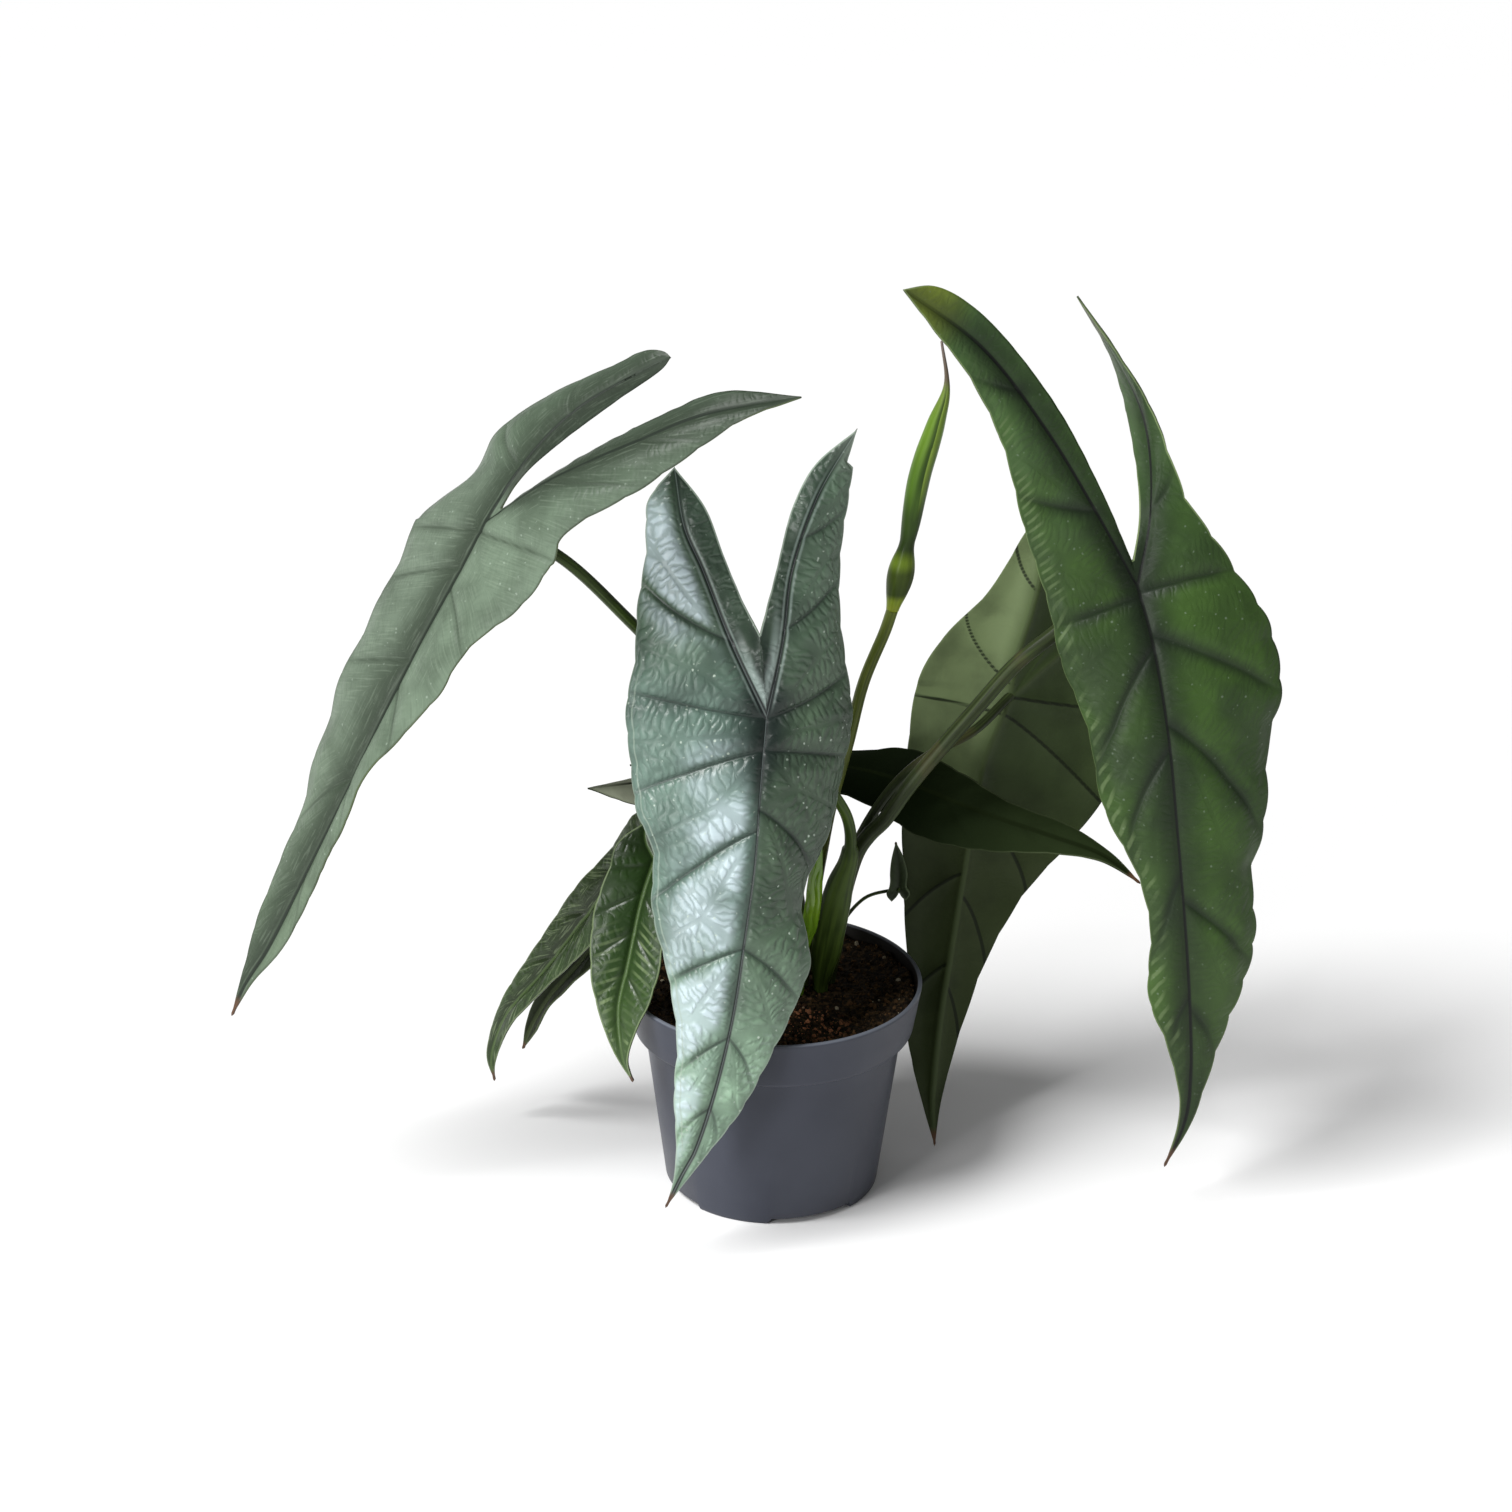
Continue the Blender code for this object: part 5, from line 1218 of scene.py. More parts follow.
# %% The colours of the large leaves
COLOURS = {
    # The front leaf's lighter left half is painted light and its dark lobe tips are painted shade
    "front": dict(
        left=rgb(98, 121, 110), right=rgb(75, 94, 74), low=rgb(146, 176, 150), lobe=rgb(84, 106, 86),
        vein=rgb(22, 33, 29), rail=rgb(13, 19, 20), light=rgb(158, 174, 168), margin=rgb(146, 160, 146),
        silver=rgb(184, 200, 205), lobe_tip=rgb(46, 64, 46), tail=rgb(142, 156, 142)),
    "left": dict(
        left=rgb(100, 114, 98), right=rgb(102, 118, 100), low=rgb(98, 114, 94), lobe=rgb(84, 100, 82),
        vein=rgb(48, 58, 46), rail=rgb(36, 44, 36), light=rgb(138, 152, 134), margin=rgb(54, 62, 50)),
    "right": dict(
        left=rgb(47, 66, 34), right=rgb(50, 71, 35), low=rgb(66, 90, 46), lobe=rgb(70, 97, 54),
        vein=rgb(21, 29, 21), rail=rgb(18, 22, 18), light=rgb(112, 130, 90), margin=rgb(134, 152, 104),
        fresh=rgb(64, 94, 35), lobe_tip=rgb(126, 142, 52), tail=rgb(120, 122, 112)),
    # The back leaf's dark right half of the underside is painted shade
    "back": dict(
        left=rgb(60, 74, 46), right=rgb(60, 74, 46), low=rgb(40, 50, 30), lobe=rgb(60, 74, 46),
        vein=rgb(20, 27, 12), rail=rgb(62, 74, 44), light=rgb(90, 104, 70), margin=rgb(84, 96, 64),
        under=rgb(102, 117, 80), under_right=rgb(54, 67, 38), under_low=rgb(50, 60, 33)),
    # The flat leaf's near-black greens are painted shade, and its pale lobe colour is painted light
    "flat": dict(
        left=rgb(15, 24, 9), right=rgb(14, 22, 8), low=rgb(34, 44, 23), lobe=rgb(190, 196, 172),
        vein=rgb(16, 23, 8), rail=rgb(22, 30, 12), light=rgb(60, 70, 46), margin=rgb(92, 102, 74),
        under=rgb(36, 46, 26)),
}

# %% [markdown]
# The small leaves are younger, so two of them have fresher greens and glossier skins. The one named dark
# and the tiny one stand in the shade, and their dark greens are painted shade.

# %% The colours of the small leaves
COLOURS.update({
    "low_left": dict(
        left=rgb(50, 66, 36), right=rgb(52, 76, 34), low=rgb(56, 82, 36), lobe=rgb(50, 68, 36),
        vein=rgb(30, 40, 20), rail=rgb(70, 90, 48), light=rgb(122, 138, 102), margin=rgb(104, 118, 84)),
    "small": dict(
        left=rgb(38, 60, 25), right=rgb(40, 62, 26), low=rgb(56, 80, 36), lobe=rgb(36, 54, 25),
        vein=rgb(30, 46, 20), rail=rgb(66, 88, 46), light=rgb(120, 138, 96), margin=rgb(116, 132, 94)),
    "dark": dict(
        left=rgb(34, 44, 23), right=rgb(32, 42, 22), low=rgb(32, 40, 21), lobe=rgb(34, 44, 23),
        vein=rgb(24, 31, 15), rail=rgb(56, 66, 40), light=rgb(76, 88, 58), margin=rgb(70, 80, 54)),
    "tiny": dict(
        left=rgb(58, 70, 46), right=rgb(58, 70, 46), low=rgb(66, 78, 54), lobe=rgb(52, 62, 42),
        vein=rgb(36, 44, 28), rail=rgb(44, 52, 36), light=rgb(86, 98, 74), margin=rgb(80, 92, 68)),
})
print("colours for", len(COLOURS), "leaves")

# %% [markdown]
# The strengths say which layers a leaf has and how much of each. The six numbers of the painted pucker
# highlights are strength, count along the blade, reach from the margin in mm, lean, the share of the blade
# where they start, and how far right of the midrib they go.

# %% The strengths of each leaf's layers
LOOKS = {
    "front": dict(
        gloss=0.36, shine=0.34, coat=0.08, net=0.27, bump=0.4, specks=0.75, patches=0.45, line=0.6,
        band_half=3.5, rail_half=0.95, halo=0.9, halo_half=7.5, halo_far=0.4, rail_line=0.2,
        lobe_edges=0.35, second_line=0.5, silver=0.95, crown=1.0, inner=0.45, sinus=0.6, tail_from=0.01,
        puckers=(0.35, 62.0, 9.0, 0.3, 0.5, 30.0)),
    "left": dict(
        net=0.1, bump=0.15, specks=0.3, patches=0.4, line=0.5, rail_half=1.0, halo=0.3, fold=0.95,
        fold_half=18.0, streaks=0.16),
    "right": dict(
        net=0.12, bump=0.2, patches=0.35, fresh=0.4, line=0.3, line_half=1.2, band=0.6, band_half=5.0,
        rail_half=0.8, halo=0.85, halo_half=14.0, halo_far=0.75, margin_line=0.7, specks=0.15,
        tail_from=0.1, puckers=(0.4, 40.0, 8.0, 1.2, -0.95, 0.0)),
    "back": dict(gloss=0.5, shine=0.12, net=0.1, bump=0.1, patches=0.4, under_veins=0.9),
    "flat": dict(
        gloss=0.65, shine=0.02, net=0.0, bump=0.05, line=0.1, band=0.15, halo=0.1, margin_line=0.6),
    "low_left": dict(
        gloss=0.3, shine=0.25, coat=0.15, net=0.15, bump=0.15, patches=0.45, line=0.5, line_half=0.7,
        rail_half=0.6, fold=0.6, fold_half=9.0, streaks=0.55),
    "small": dict(
        gloss=0.32, shine=0.3, coat=0.05, net=0.25, bump=0.2, patches=0.25, line=0.4, line_half=0.7,
        rail_half=0.6, halo=0.3, puckers=(0.9, 24.0, 14.0, 0.25, 0.2, 20.0)),
    "dark": dict(shine=0.1, net=0.15, bump=0.15),
    "tiny": dict(shine=0.1, cell=(2.6, 10.0)),
}

# %% [markdown]
# Now the leaves grow. A grid square of just under 1 mm is enough for the front leaf's net. Coarser squares
# do for the other large leaves, and finer ones cost little on the small leaves. So each blade stays below
# 200,000 triangles.

# %% The leaves are grown
BLADE = 0.8

# Each leaf: outline, grid square, net height, cell width and length, skin, slot
LEAVES = {
    "front": (FRONT, 0.94, 0.3, (2.9, 8.0), "skin_silver_and_sheen", "leaf_silver"),
    "left": (LEFT, 1.15, 0.08, (2.2, 12.0), "skin_grey_green", "leaf_grey_green"),
    "right": (RIGHT, 1.15, 0.08, (2.6, 10.0), "skin_mid_green", "leaf_green"),
    "back": (BACK, 1.3, 0.05, (2.6, 10.0), "skin_olive", "leaf_olive"),
    "flat": (FLAT, 1.1, 0.03, (2.6, 10.0), "skin_dark_painted_shade", "leaf_dark_green"),
    "low_left": (LOW_LEFT, 0.8, 0.12, (2.6, 7.0), "skin_glossy", "leaf_glossy"),
    "small": (SMALL, 0.6, 0.1, (3.0, 9.0), "skin_quilted", "leaf_glossy"),
    "dark": (DARK, 0.8, 0.1, (2.6, 7.0), "skin_shaded", "leaf_dark_green"),
    "tiny": (TINY, 0.6, 0.05, (2.6, 7.0), "skin_tiny", "leaf_green"),
}

for name, (leaf, square, net_height, cell, skin, slot) in LEAVES.items():
    piece = placed("blade_" + name, blade_sheet("blade_" + name, leaf, square))
    values = {"Thickness": BLADE * MM, "Net height": net_height * MM, "Cell width": cell[0],
              "Cell length": cell[1], "Skin": leaf_skin(skin, {"cell": cell, **LOOKS[name]}, COLOURS[name])}
    grown(piece, blade_group, blade_ids, values)
    finish_piece(piece, ["leaf_" + name])

# %% [markdown]
# ## The stalks
# A stalk is a round rod with fine ridges, swept along a path. The path is a line of points that carry the
# stalk's radius. The tree turns it into a curve, sweeps a ridged ring along it and caps the ends. The
# ring's own place is kept on the rod, so that streaks can be drawn along it.

# %% The stalk tree
def stalk_tree():
    group = new_tree("stalk")
    ids = sockets(group, (
        ("Sides", "Int", 24), ("Ridges", "Int", 8), ("Ridge height", "Float", 0.04),
        ("Skin", "Material", None)))
    start = add(group, "NodeGroupInput").outputs
    line = add(group, "GeometryNodeMeshToCurve", {"Mesh": start["Geometry"]})
    circle = add(group, "GeometryNodeCurvePrimitiveCircle", {"Resolution": start["Sides"], "Radius": 1.0})
    spot = add(group, "GeometryNodeInputPosition").outputs[0]
    named = stored(group, circle.outputs[0], "ring", spot, "FLOAT_VECTOR")
    xyz = add(group, "ShaderNodeSeparateXYZ", {0: spot}).outputs
    angle = calc(group, "ARCTAN2", xyz[1], xyz[0])
    beat = calc(group, "SINE", calc(group, "MULTIPLY", angle, start["Ridges"]))
    grow = calc(group, "ADD", 1.0, calc(group, "MULTIPLY", beat, start["Ridge height"]))
    ridged = scaled(group, spot, grow)
    shaped = add(group, "GeometryNodeSetPosition", {"Geometry": named, "Position": ridged})
    rod = add(group, "GeometryNodeCurveToMesh", {
        "Curve": line.outputs[0], "Profile Curve": shaped.outputs[0], "Fill Caps": True,
        "Scale": attribute(group, "girth")})
    rounded = add(group, "GeometryNodeSetShadeSmooth", {"Geometry": rod.outputs[0]})
    tree_end(group, rounded.outputs[0], start["Skin"])
    return group, ids


def line_mesh(name, points, radii):
    mesh = bpy.data.meshes.new(name)
    mesh.from_pydata((points * MM).tolist(), [(i, i + 1) for i in range(len(points) - 1)], [])
    keep(mesh, "girth", radii * MM)
    keep(mesh, "way", lengths(points))
    return mesh


stalk_group, stalk_ids = stalk_tree()
print("the stalk tree has", len(stalk_group.nodes), "nodes and the inputs", list(stalk_ids))

# %% [markdown]
# The skin of a stalk is striped lengthwise, because its fibres run lengthwise. It is more yellow where the
# light comes through, and brown in patches on the thickest one.

# %% The stalks' skin
STALK_FIBRES = (3.2, 0.03)
FIBRE_SHARE = 0.65
TOP_BLEND = (140.0, 225.0)


def fibres(tree, crosswise, lengthwise):
    """Streaks along a rod: a noise on the place in its ring and the way along it."""
    way = calc(tree, "MULTIPLY", carried(tree, "way"), lengthwise)
    far = add(tree, "ShaderNodeCombineXYZ", {2: way}).outputs[0]
    place = stretch(tree, carried(tree, "ring", "Vector"), (crosswise, crosswise, 0.0), far)
    return noise(tree, place, 1.0, 4.0)


def stalk_skin(name, light, dark, gloss=0.38, shine=0.15, brown=0.0, top=None):
    """top: the colour of the upper end, from the first to the second number of TOP_BLEND in mm."""
    material, tree, shader, body = new_material(name)
    strands = fibres(tree, *STALK_FIBRES)
    patches = noise(tree, body, 45.0, 3.0)
    share = calc(tree, "ADD", calc(tree, "MULTIPLY", strands, FIBRE_SHARE),
                 calc(tree, "MULTIPLY", patches, 1 - FIBRE_SHARE))
    colour = mix(tree, smooth(tree, share, 0.4, 0.62), dark, light)
    if brown:
        colour = mix(tree, smooth(tree, patches, 0.5, 0.62, 0.0, brown), colour, DRY)
    if top:
        colour = mix(tree, smooth(tree, carried(tree, "way"), *TOP_BLEND), colour, top)
    dress(tree, shader, colour, gloss, shine, height=strands, strength=0.35, depth=0.0003)
    return material


stalk_green = stalk_skin("stalk_green", rgb(64, 82, 36), rgb(42, 54, 24))
stalk_brown = stalk_skin("stalk_brown", rgb(54, 66, 34), rgb(36, 44, 22), brown=0.2)
stalk_pale = stalk_skin("stalk_pale", rgb(98, 108, 50), rgb(70, 80, 32), top=rgb(96, 112, 38))

# %% [markdown]
# Below are the ways of the stalks, from the soil to the blade, with the radius at the foot and at the top.
# Each starts under the soil and stands upright for the first millimetres above it.

# %% The stalks
SOIL_LEVEL = 83.0
STALK_FOOT = 76.5
STALK_UPRIGHT = 3.0
STALK_TAPER = 1.3
STALK_STEP = 1.8

STALKS = {
    "left": ([(8, -1), (8, 1, 105), (6, 3, 131), (-14, 0, 185), (-38, -8, 224), (-58, -17, 251),
              (-84, -26, 280), (-111, -30, 295)], 2.8, 2.2),
    "right": ([(22, 9.5), (24, 6, 98), (26, 2, 116), (29, 1, 133), (33, 1, 146), (37.5, 1, 153),
               (43, 1, 159), (54, 1, 176), (78, 0, 208), (93, 0, 227), (108, 1, 240), (126, 2, 256),
               (138, -8, 263)], 3.3, 3.0),
    "back": ([(19.5, 16.5), (21.5, 14, 95), (25, 10, 114), (29, 9, 133), (33, 9, 146), (41, 9, 162),
              (51, 10, 175), (62, 11, 184), (78, 19, 190), (94, 40, 197)], 2.3, 1.9),
    "flat": ([(10, 13.5), (11, 16, 108), (6, 22, 136), (-3, 30, 158), (-6, 34, 168)], 2.3, 1.8),
    "low_left": ([(-8, 4), (-20, 4, 115), (-36, 6, 137), (-50, 8, 146)], 1.8, 1.3),
    "small": ([(-6, -8), (-20, -9, 112), (-36, -8, 136), (-48, -12, 147)], 1.8, 1.3),
    "dark": ([(-2, 16), (-14, 18, 106), (-30, 22, 119), (-46, 24, 122)], 1.6, 1.2),
    "tiny": ([(24, 20), (25, 20, 96), (29, 21, 106), (37, 26, 113), (47, 33, 113), (51, 30, 115)],
             0.9, 0.7),
    "rolled": ([(12, 6), (15, 8, 103), (16.5, 8, 125), (19, 8, 143), (21.5, 8, 159), (24.5, 8, 173),
                (28.5, 8, 190), (34, 9, 215), (42, 9, 237), (44.5, 8, 246)], 2.2, 2.3),
}
STALK_SKINS = {"rolled": stalk_pale, "right": stalk_brown, "back": stalk_brown}

# Rows left off where a stalk would come up through its blade
UNDER_BLADE = {"left": 1, "right": 1, "flat": 1, "low_left": 1, "small": 1, "dark": 1}


def rooted(points):
    place = points[0]
    return [(*place, STALK_FOOT), (*place, SOIL_LEVEL + STALK_UPRIGHT)] + list(points[1:])


for name, (points, foot, top) in STALKS.items():
    dense = curve_points(rooted(points))
    path = resample(dense, int(lengths(dense)[-1] / STALK_STEP))
    path = path[:len(path) - UNDER_BLADE.get(name, 0)]
    along = np.linspace(0, 1, len(path))
    radii = foot + (top - foot) * np.minimum(1, along * STALK_TAPER)
    piece = placed("stalk_" + name, line_mesh("stalk_" + name, path, radii))
    grown(piece, stalk_group, stalk_ids, {"Skin": STALK_SKINS.get(name, stalk_green)})
    finish_piece(piece, ["stem_" + name])

# %% [markdown]
# ## The stalk that is a sheath at its foot
# The foot of the front stalk is a gutter that clasps the others. Its section is round above and opens to
# the back below, so its rings are made point by point from a table of height, half-width, depth and how
# hollow the back is.

# %% Closed tubes through rings of points
def frames(path):
    tangents = np.gradient(path, axis=0)
    tangents = tangents / np.linalg.norm(tangents, axis=1, keepdims=True)
    side = unit(np.cross(tangents[0], vec((0, 1, 0))))
    made = []
    for tangent in tangents:
        side = unit(side - tangent * np.dot(side, tangent))
        made.append((side, np.cross(tangent, side)))
    return made


def faces_out(mesh):
    work = bmesh.new()
    work.from_mesh(mesh)
    bmesh.ops.recalc_face_normals(work, faces=work.faces)
    work.to_mesh(mesh)
    work.free()
    return mesh


def tube(name, rings, ends, ways):
    """A closed mesh through rings of equal length, with a point at each end."""
    count = len(rings[0])
    points = np.concatenate(rings + [np.array(ends)])
    faces = []
    for i in range(len(rings) - 1):
        for k in range(count):
            j = (k + 1) % count
            faces.append((i * count + k, i * count + j, (i + 1) * count + j, (i + 1) * count + k))
    last = (len(rings) - 1) * count
    for k in range(count):
        j = (k + 1) % count
        faces.append((len(points) - 2, j, k))
        faces.append((len(points) - 1, last + k, last + j))
    mesh = bpy.data.meshes.new(name)
    mesh.from_pydata((points * MM).tolist(), [], faces)
    turn = 2 * pi * np.arange(count) / count
    circle = np.stack([np.cos(turn), np.sin(turn), 0 * turn], axis=1)
    ring = np.concatenate([np.tile(circle, (len(rings), 1)), np.zeros((2, 3))])
    way = np.concatenate([np.repeat(ways, count), [ways[0], ways[-1]]])
    keep(mesh, "ring", ring)
    keep(mesh, "way", way)
    faces_out(mesh).shade_smooth()
    return mesh


# %% [markdown]
# The rings of the sheath take their size from the table at the height where they stand, and above the table
# the stalk is a plain rod. Sweeping one outline along the path would be shorter, but that outline couldn't
# open and close on the way.

# %% The sheath stalk
FRONT_STALK = [(19, 2), (21, -1, 103), (23, -3, 117), (26, -6, 135), (29, -9, 147), (29.5, -12, 158),
               (28, -15, 167), (25, -19, 175), (19, -24, 186), (12, -30, 199), (5, -36, 212), (-4, -42, 220)]
SHEATH_SHAPE = ((86, 3.2, 3.2, 0.0), (93, 4.6, 4.2, 0.5), (103, 6.1, 5.0, 1.0), (117, 6.3, 5.0, 1.0),
                (127, 6.1, 5.0, 1.0), (136, 5.3, 4.6, 1.0), (144, 4.1, 3.9, 0.7), (152, 3.3, 3.3, 0.0))
SHEATH_WALL = 1.4
SHEATH_EDGE = 0.8
SHEATH_SIDES = 40
SHEATH_STEP = 1.5
FRONT_FOOT = 3.2
FRONT_TOP = 2.0
FRONT_ROWS_OFF = 4


def sheath_rings(path):
    heights, *columns = zip(*SHEATH_SHAPE)
    turn = 2 * pi * (np.arange(SHEATH_SIDES) + 0.5) / SHEATH_SIDES
    rings = []
    for i, (centre, (side, front)) in enumerate(zip(path, frames(path))):
        if heights[0] <= centre[2] <= heights[-1]:
            half, depth, hollow = (np.interp(centre[2], heights, column) for column in columns)
        else:
            half = depth = FRONT_FOOT + (FRONT_TOP - FRONT_FOOT) * min(1, STALK_TAPER * i / len(path))
            hollow = 0.0
        back = -depth + (2 * depth - SHEATH_WALL) * hollow
        width = np.where(np.sin(turn) > 0, half, half - SHEATH_EDGE * hollow)
        reach = np.where(np.sin(turn) > 0, depth * np.sin(turn), -back * np.sin(turn))
        rings.append(centre + (width * np.cos(turn))[:, None] * side + reach[:, None] * front)
    return rings


front_path = curve_points(rooted(FRONT_STALK))
front_path = resample(front_path, int(lengths(front_path)[-1] / SHEATH_STEP))[:-FRONT_ROWS_OFF]
front_ends = [front_path[0], front_path[-1]]
front_mesh = tube("stalk_front", sheath_rings(front_path), front_ends, lengths(front_path))
front_mesh.materials.append(stalk_skin("sheath_green", rgb(68, 88, 32), rgb(44, 60, 20)))
finish_piece(placed("stalk_front", front_mesh), ["stem_front"])

# %% [markdown]
# ## The rolled leaf
# The youngest leaf is still rolled up: a slim spear with a bulb at its foot, where the bases of the lobes
# are folded together. The free edge of the roll winds round it as a step in the surface.

# %% The spear
SPEAR = [(44.5, 8, 246.1), (47.5, 7, 262), (50, 6, 278), (53.5, 3, 303), (59, 0, 325), (62.5, -3, 341),
         (60, -5, 359)]
SPEAR_SHAPE = ((0.0, 2.3), (0.02, 2.8), (0.07, 4.4), (0.13, 5.5), (0.19, 4.5), (0.235, 2.7), (0.28, 3.2),
               (0.34, 3.8), (0.46, 4.3), (0.6, 4.2), (0.7, 3.5), (0.78, 2.3), (0.84, 1.2), (0.88, 0.8),
               (1.0, 0.5))
SPEAR_ROWS = 140
SPEAR_SIDES = 36
SPEAR_SOFTNESS = 9
LAP_HEIGHT = 0.14
LAP_REACH = 0.07
LAP_TURNS = 0.1
LAP_START = 0.66
LAP_FROM = 0.25
LAP_TO = 0.88
LAP_BLEND = 0.06

spear_path = even(SPEAR, SPEAR_ROWS)
spear_share = np.linspace(0, 1, SPEAR_ROWS + 1)
spear_radii = np.interp(spear_share, *zip(*SPEAR_SHAPE))
edge_rows = SPEAR_SOFTNESS // 2
padded = np.pad(spear_radii, edge_rows, mode="edge")
spear_radii = np.convolve(padded, np.ones(SPEAR_SOFTNESS) / SPEAR_SOFTNESS, mode="valid")
spear_turn = 2 * pi * np.arange(SPEAR_SIDES) / SPEAR_SIDES
spear_rings = []
spear_laps = []
for share, radius, centre, (side, front) in zip(spear_share, spear_radii, spear_path, frames(spear_path)):
    lap = (spear_turn / (2 * pi) + LAP_TURNS * share + LAP_START) % 1.0
    rolled = ease((share - LAP_FROM) / LAP_BLEND) * ease((LAP_TO - share) / LAP_BLEND)
    wide = radius * (1 + LAP_HEIGHT * np.exp(-lap / LAP_REACH) * rolled)
    spear_rings.append(
        centre + (wide * np.cos(spear_turn))[:, None] * side + (wide * np.sin(spear_turn))[:, None] * front)
    spear_laps.append(np.where(lap < 0.5, lap, lap - 1))
spear_mesh = tube("spear", spear_rings, [spear_path[0], spear_path[-1] + vec((0, -0.2, 0.6))],
                  spear_share * lengths(spear_path)[-1])
keep(spear_mesh, "lap", np.concatenate(spear_laps + [np.ones(2)]))
print("spear length in mm:", round(lengths(spear_path)[-1]))

# %% [markdown]
# The spear's skin changes along its height: a yellow ring where the stalk ends, an olive bulb, a dark neck,
# a fresh green blade and a dry brown tail. Each is a colour between two heights. Where the roll's free edge
# steps out, a pale line is a painted highlight on the edge and a dark line is painted shade in the seam
# below it.

# %% The spear's skin
SPEAR_BANDS = ((247.0, rgb(122, 134, 40)), (250.0, rgb(112, 128, 34)), (254.0, rgb(48, 62, 17)),
               (262.0, rgb(54, 68, 18)), (267.0, rgb(92, 112, 32)), (273.0, rgb(36, 52, 16)),
               (284.0, rgb(46, 66, 22)), (300.0, rgb(66, 94, 28)), (326.0, rgb(92, 122, 40)),
               (338.0, rgb(100, 120, 52)), (345.0, rgb(96, 84, 72)), (360.0, rgb(122, 110, 106)))
SPEAR_FIBRES = (2.6, 0.05)
ROLL_BEGINS = (0.286, 0.304)
ROLL_ENDS = (0.334, 0.344)


def banded_skin(name, bands, gloss):
    material, tree, shader, body = new_material(name)
    height = axis(tree, body, 2)
    colour = bands[0][1]
    for (low, _), (high, following) in zip(bands, bands[1:]):
        colour = mix(tree, smooth(tree, height, low * MM, high * MM), colour, following)
    strands = fibres(tree, *SPEAR_FIBRES)
    tone = mix(tree, smooth(tree, strands, 0.35, 0.65), (0.88, 0.9, 0.86, 1.0), (1.1, 1.1, 1.06, 1.0))
    colour = mix(tree, 1.0, colour, tone, "MULTIPLY")
    lap = carried(tree, "lap")
    rolled = times(tree, smooth(tree, height, *ROLL_BEGINS), near(tree, height, *ROLL_ENDS))
    # Painted highlight on the roll's free edge, and painted shade in the seam under it
    lip_highlight = times(tree, smooth(tree, lap, 0.0, 0.01), near(tree, lap, 0.03, 0.12, 0.6), rolled)
    colour = mix(tree, lip_highlight, colour, rgb(128, 150, 64))
    seam_shade = times(tree, smooth(tree, lap, -0.09, -0.01), near(tree, lap, 0.0, 0.012, 0.8), rolled)
    colour = mix(tree, seam_shade, colour, rgb(28, 46, 12))
    dress(tree, shader, colour, gloss, 0.15, height=strands, strength=0.4, depth=0.0004)
    return material


spear_mesh.materials.append(banded_skin("spear_green", SPEAR_BANDS, 0.33))
finish_piece(placed("spear", spear_mesh), ["leaf_rolled"])

# %% [markdown]
# ## The bract
# A papery membrane hugs the crown in front of the sheath. It is a narrow sheet with a curl and waves.
# Its waves catch the light as white lines, so it is the glossiest piece of the plant.

# %% The bract
BRACT = [(9, -5, SOIL_LEVEL + 0.3), (10.7, -7, 106), (13.6, -8.5, 116), (15, -10, 126), (15.7, -11, 134),
         (16.2, -12, 143), (17.2, -13, 155)]
BRACT_WIDTH = 7.0
BRACT_CURL = 0.16
BRACT_WAVE = 0.45
BRACT_RIPPLE = 2.2
BRACT_WANDER = ((1.6, 11.0), (0.8, 27.0))
BRACT_FOOT = 0.75
BRACT_TAPER = 0.95
BRACT_ROWS = 80
BRACT_COLUMNS = 20

bract_path = even(BRACT, BRACT_ROWS)
bract_along = np.linspace(0, 1, BRACT_ROWS + 1)
bract_shape = np.minimum(1, BRACT_FOOT + bract_along) * np.sqrt(1 - BRACT_TAPER * bract_along ** 3)
bract_half = BRACT_WIDTH / 2 * bract_shape
sideways = np.linspace(-1, 1, BRACT_COLUMNS + 1)[None, :] * bract_half[:, None]
wander = sum(size * np.sin(pace * bract_along[:, None]) for size, pace in BRACT_WANDER)
crease = BRACT_WAVE * np.sin(sideways * BRACT_RIPPLE + wander) * np.sin(pi * bract_along)[:, None]
bract_net = bract_path[:, None] + np.stack(
    [sideways, BRACT_CURL * sideways ** 2 + crease, 0 * sideways], axis=-1)
bract_mesh = bpy.data.meshes.new("bract")
bract_mesh.from_pydata((bract_net.reshape(-1, 3) * MM).tolist(), [],
                       grid_faces(0, BRACT_ROWS + 1, BRACT_COLUMNS + 1, True).tolist())
bract = placed("bract", bract_mesh)
thick = bract.modifiers.new("thick", "SOLIDIFY")
thick.thickness = BLADE * MM
thick.offset = 0.0
plain(bract).data.shade_smooth()
bract.data.materials.append(stalk_skin("bract_green", rgb(122, 160, 40), rgb(78, 118, 24), 0.16, 0.5))
finish_piece(bract, ["crown_bract"])

# %% [markdown]
# ## The pot
# The pot is turned from one profile: a skirt under the rim and a tapered body, with four shallow notches
# in its foot and drain holes. It is blow-moulded, so every edge is a little round.

# %% The pot's sizes and its profile
POT_HEIGHT = 89.3
POT_RIM = 60.0
POT_FOOT = 43.4
POT_WALL = 1.3
POT_FLOOR = 1.6
SKIRT_HEIGHT = 20.0
SKIRT_STEP = 4.4
SKIRT_TAPER = 3.2
NOTCH_DEPTH = 2.4
NOTCH_INNER = 36.0
NOTCH_COUNT = 4
NOTCH_TURN = -68.0
NOTCH_SWEEP = 48.0
NOTCH_EDGE = 0.7
DRAIN_COUNT = 6
DRAIN_RADIUS = 4.0
DRAIN_CIRCLE = 24.0
DRAIN_TURN = 7.3
POT_SIDES = 180

ledge = POT_HEIGHT - SKIRT_HEIGHT
skirt_low = POT_RIM - SKIRT_TAPER
body_top = skirt_low - SKIRT_STEP
raised_floor = POT_FLOOR + NOTCH_DEPTH


def pot_radius(height):
    return POT_FOOT + (body_top - POT_FOOT) * height / ledge


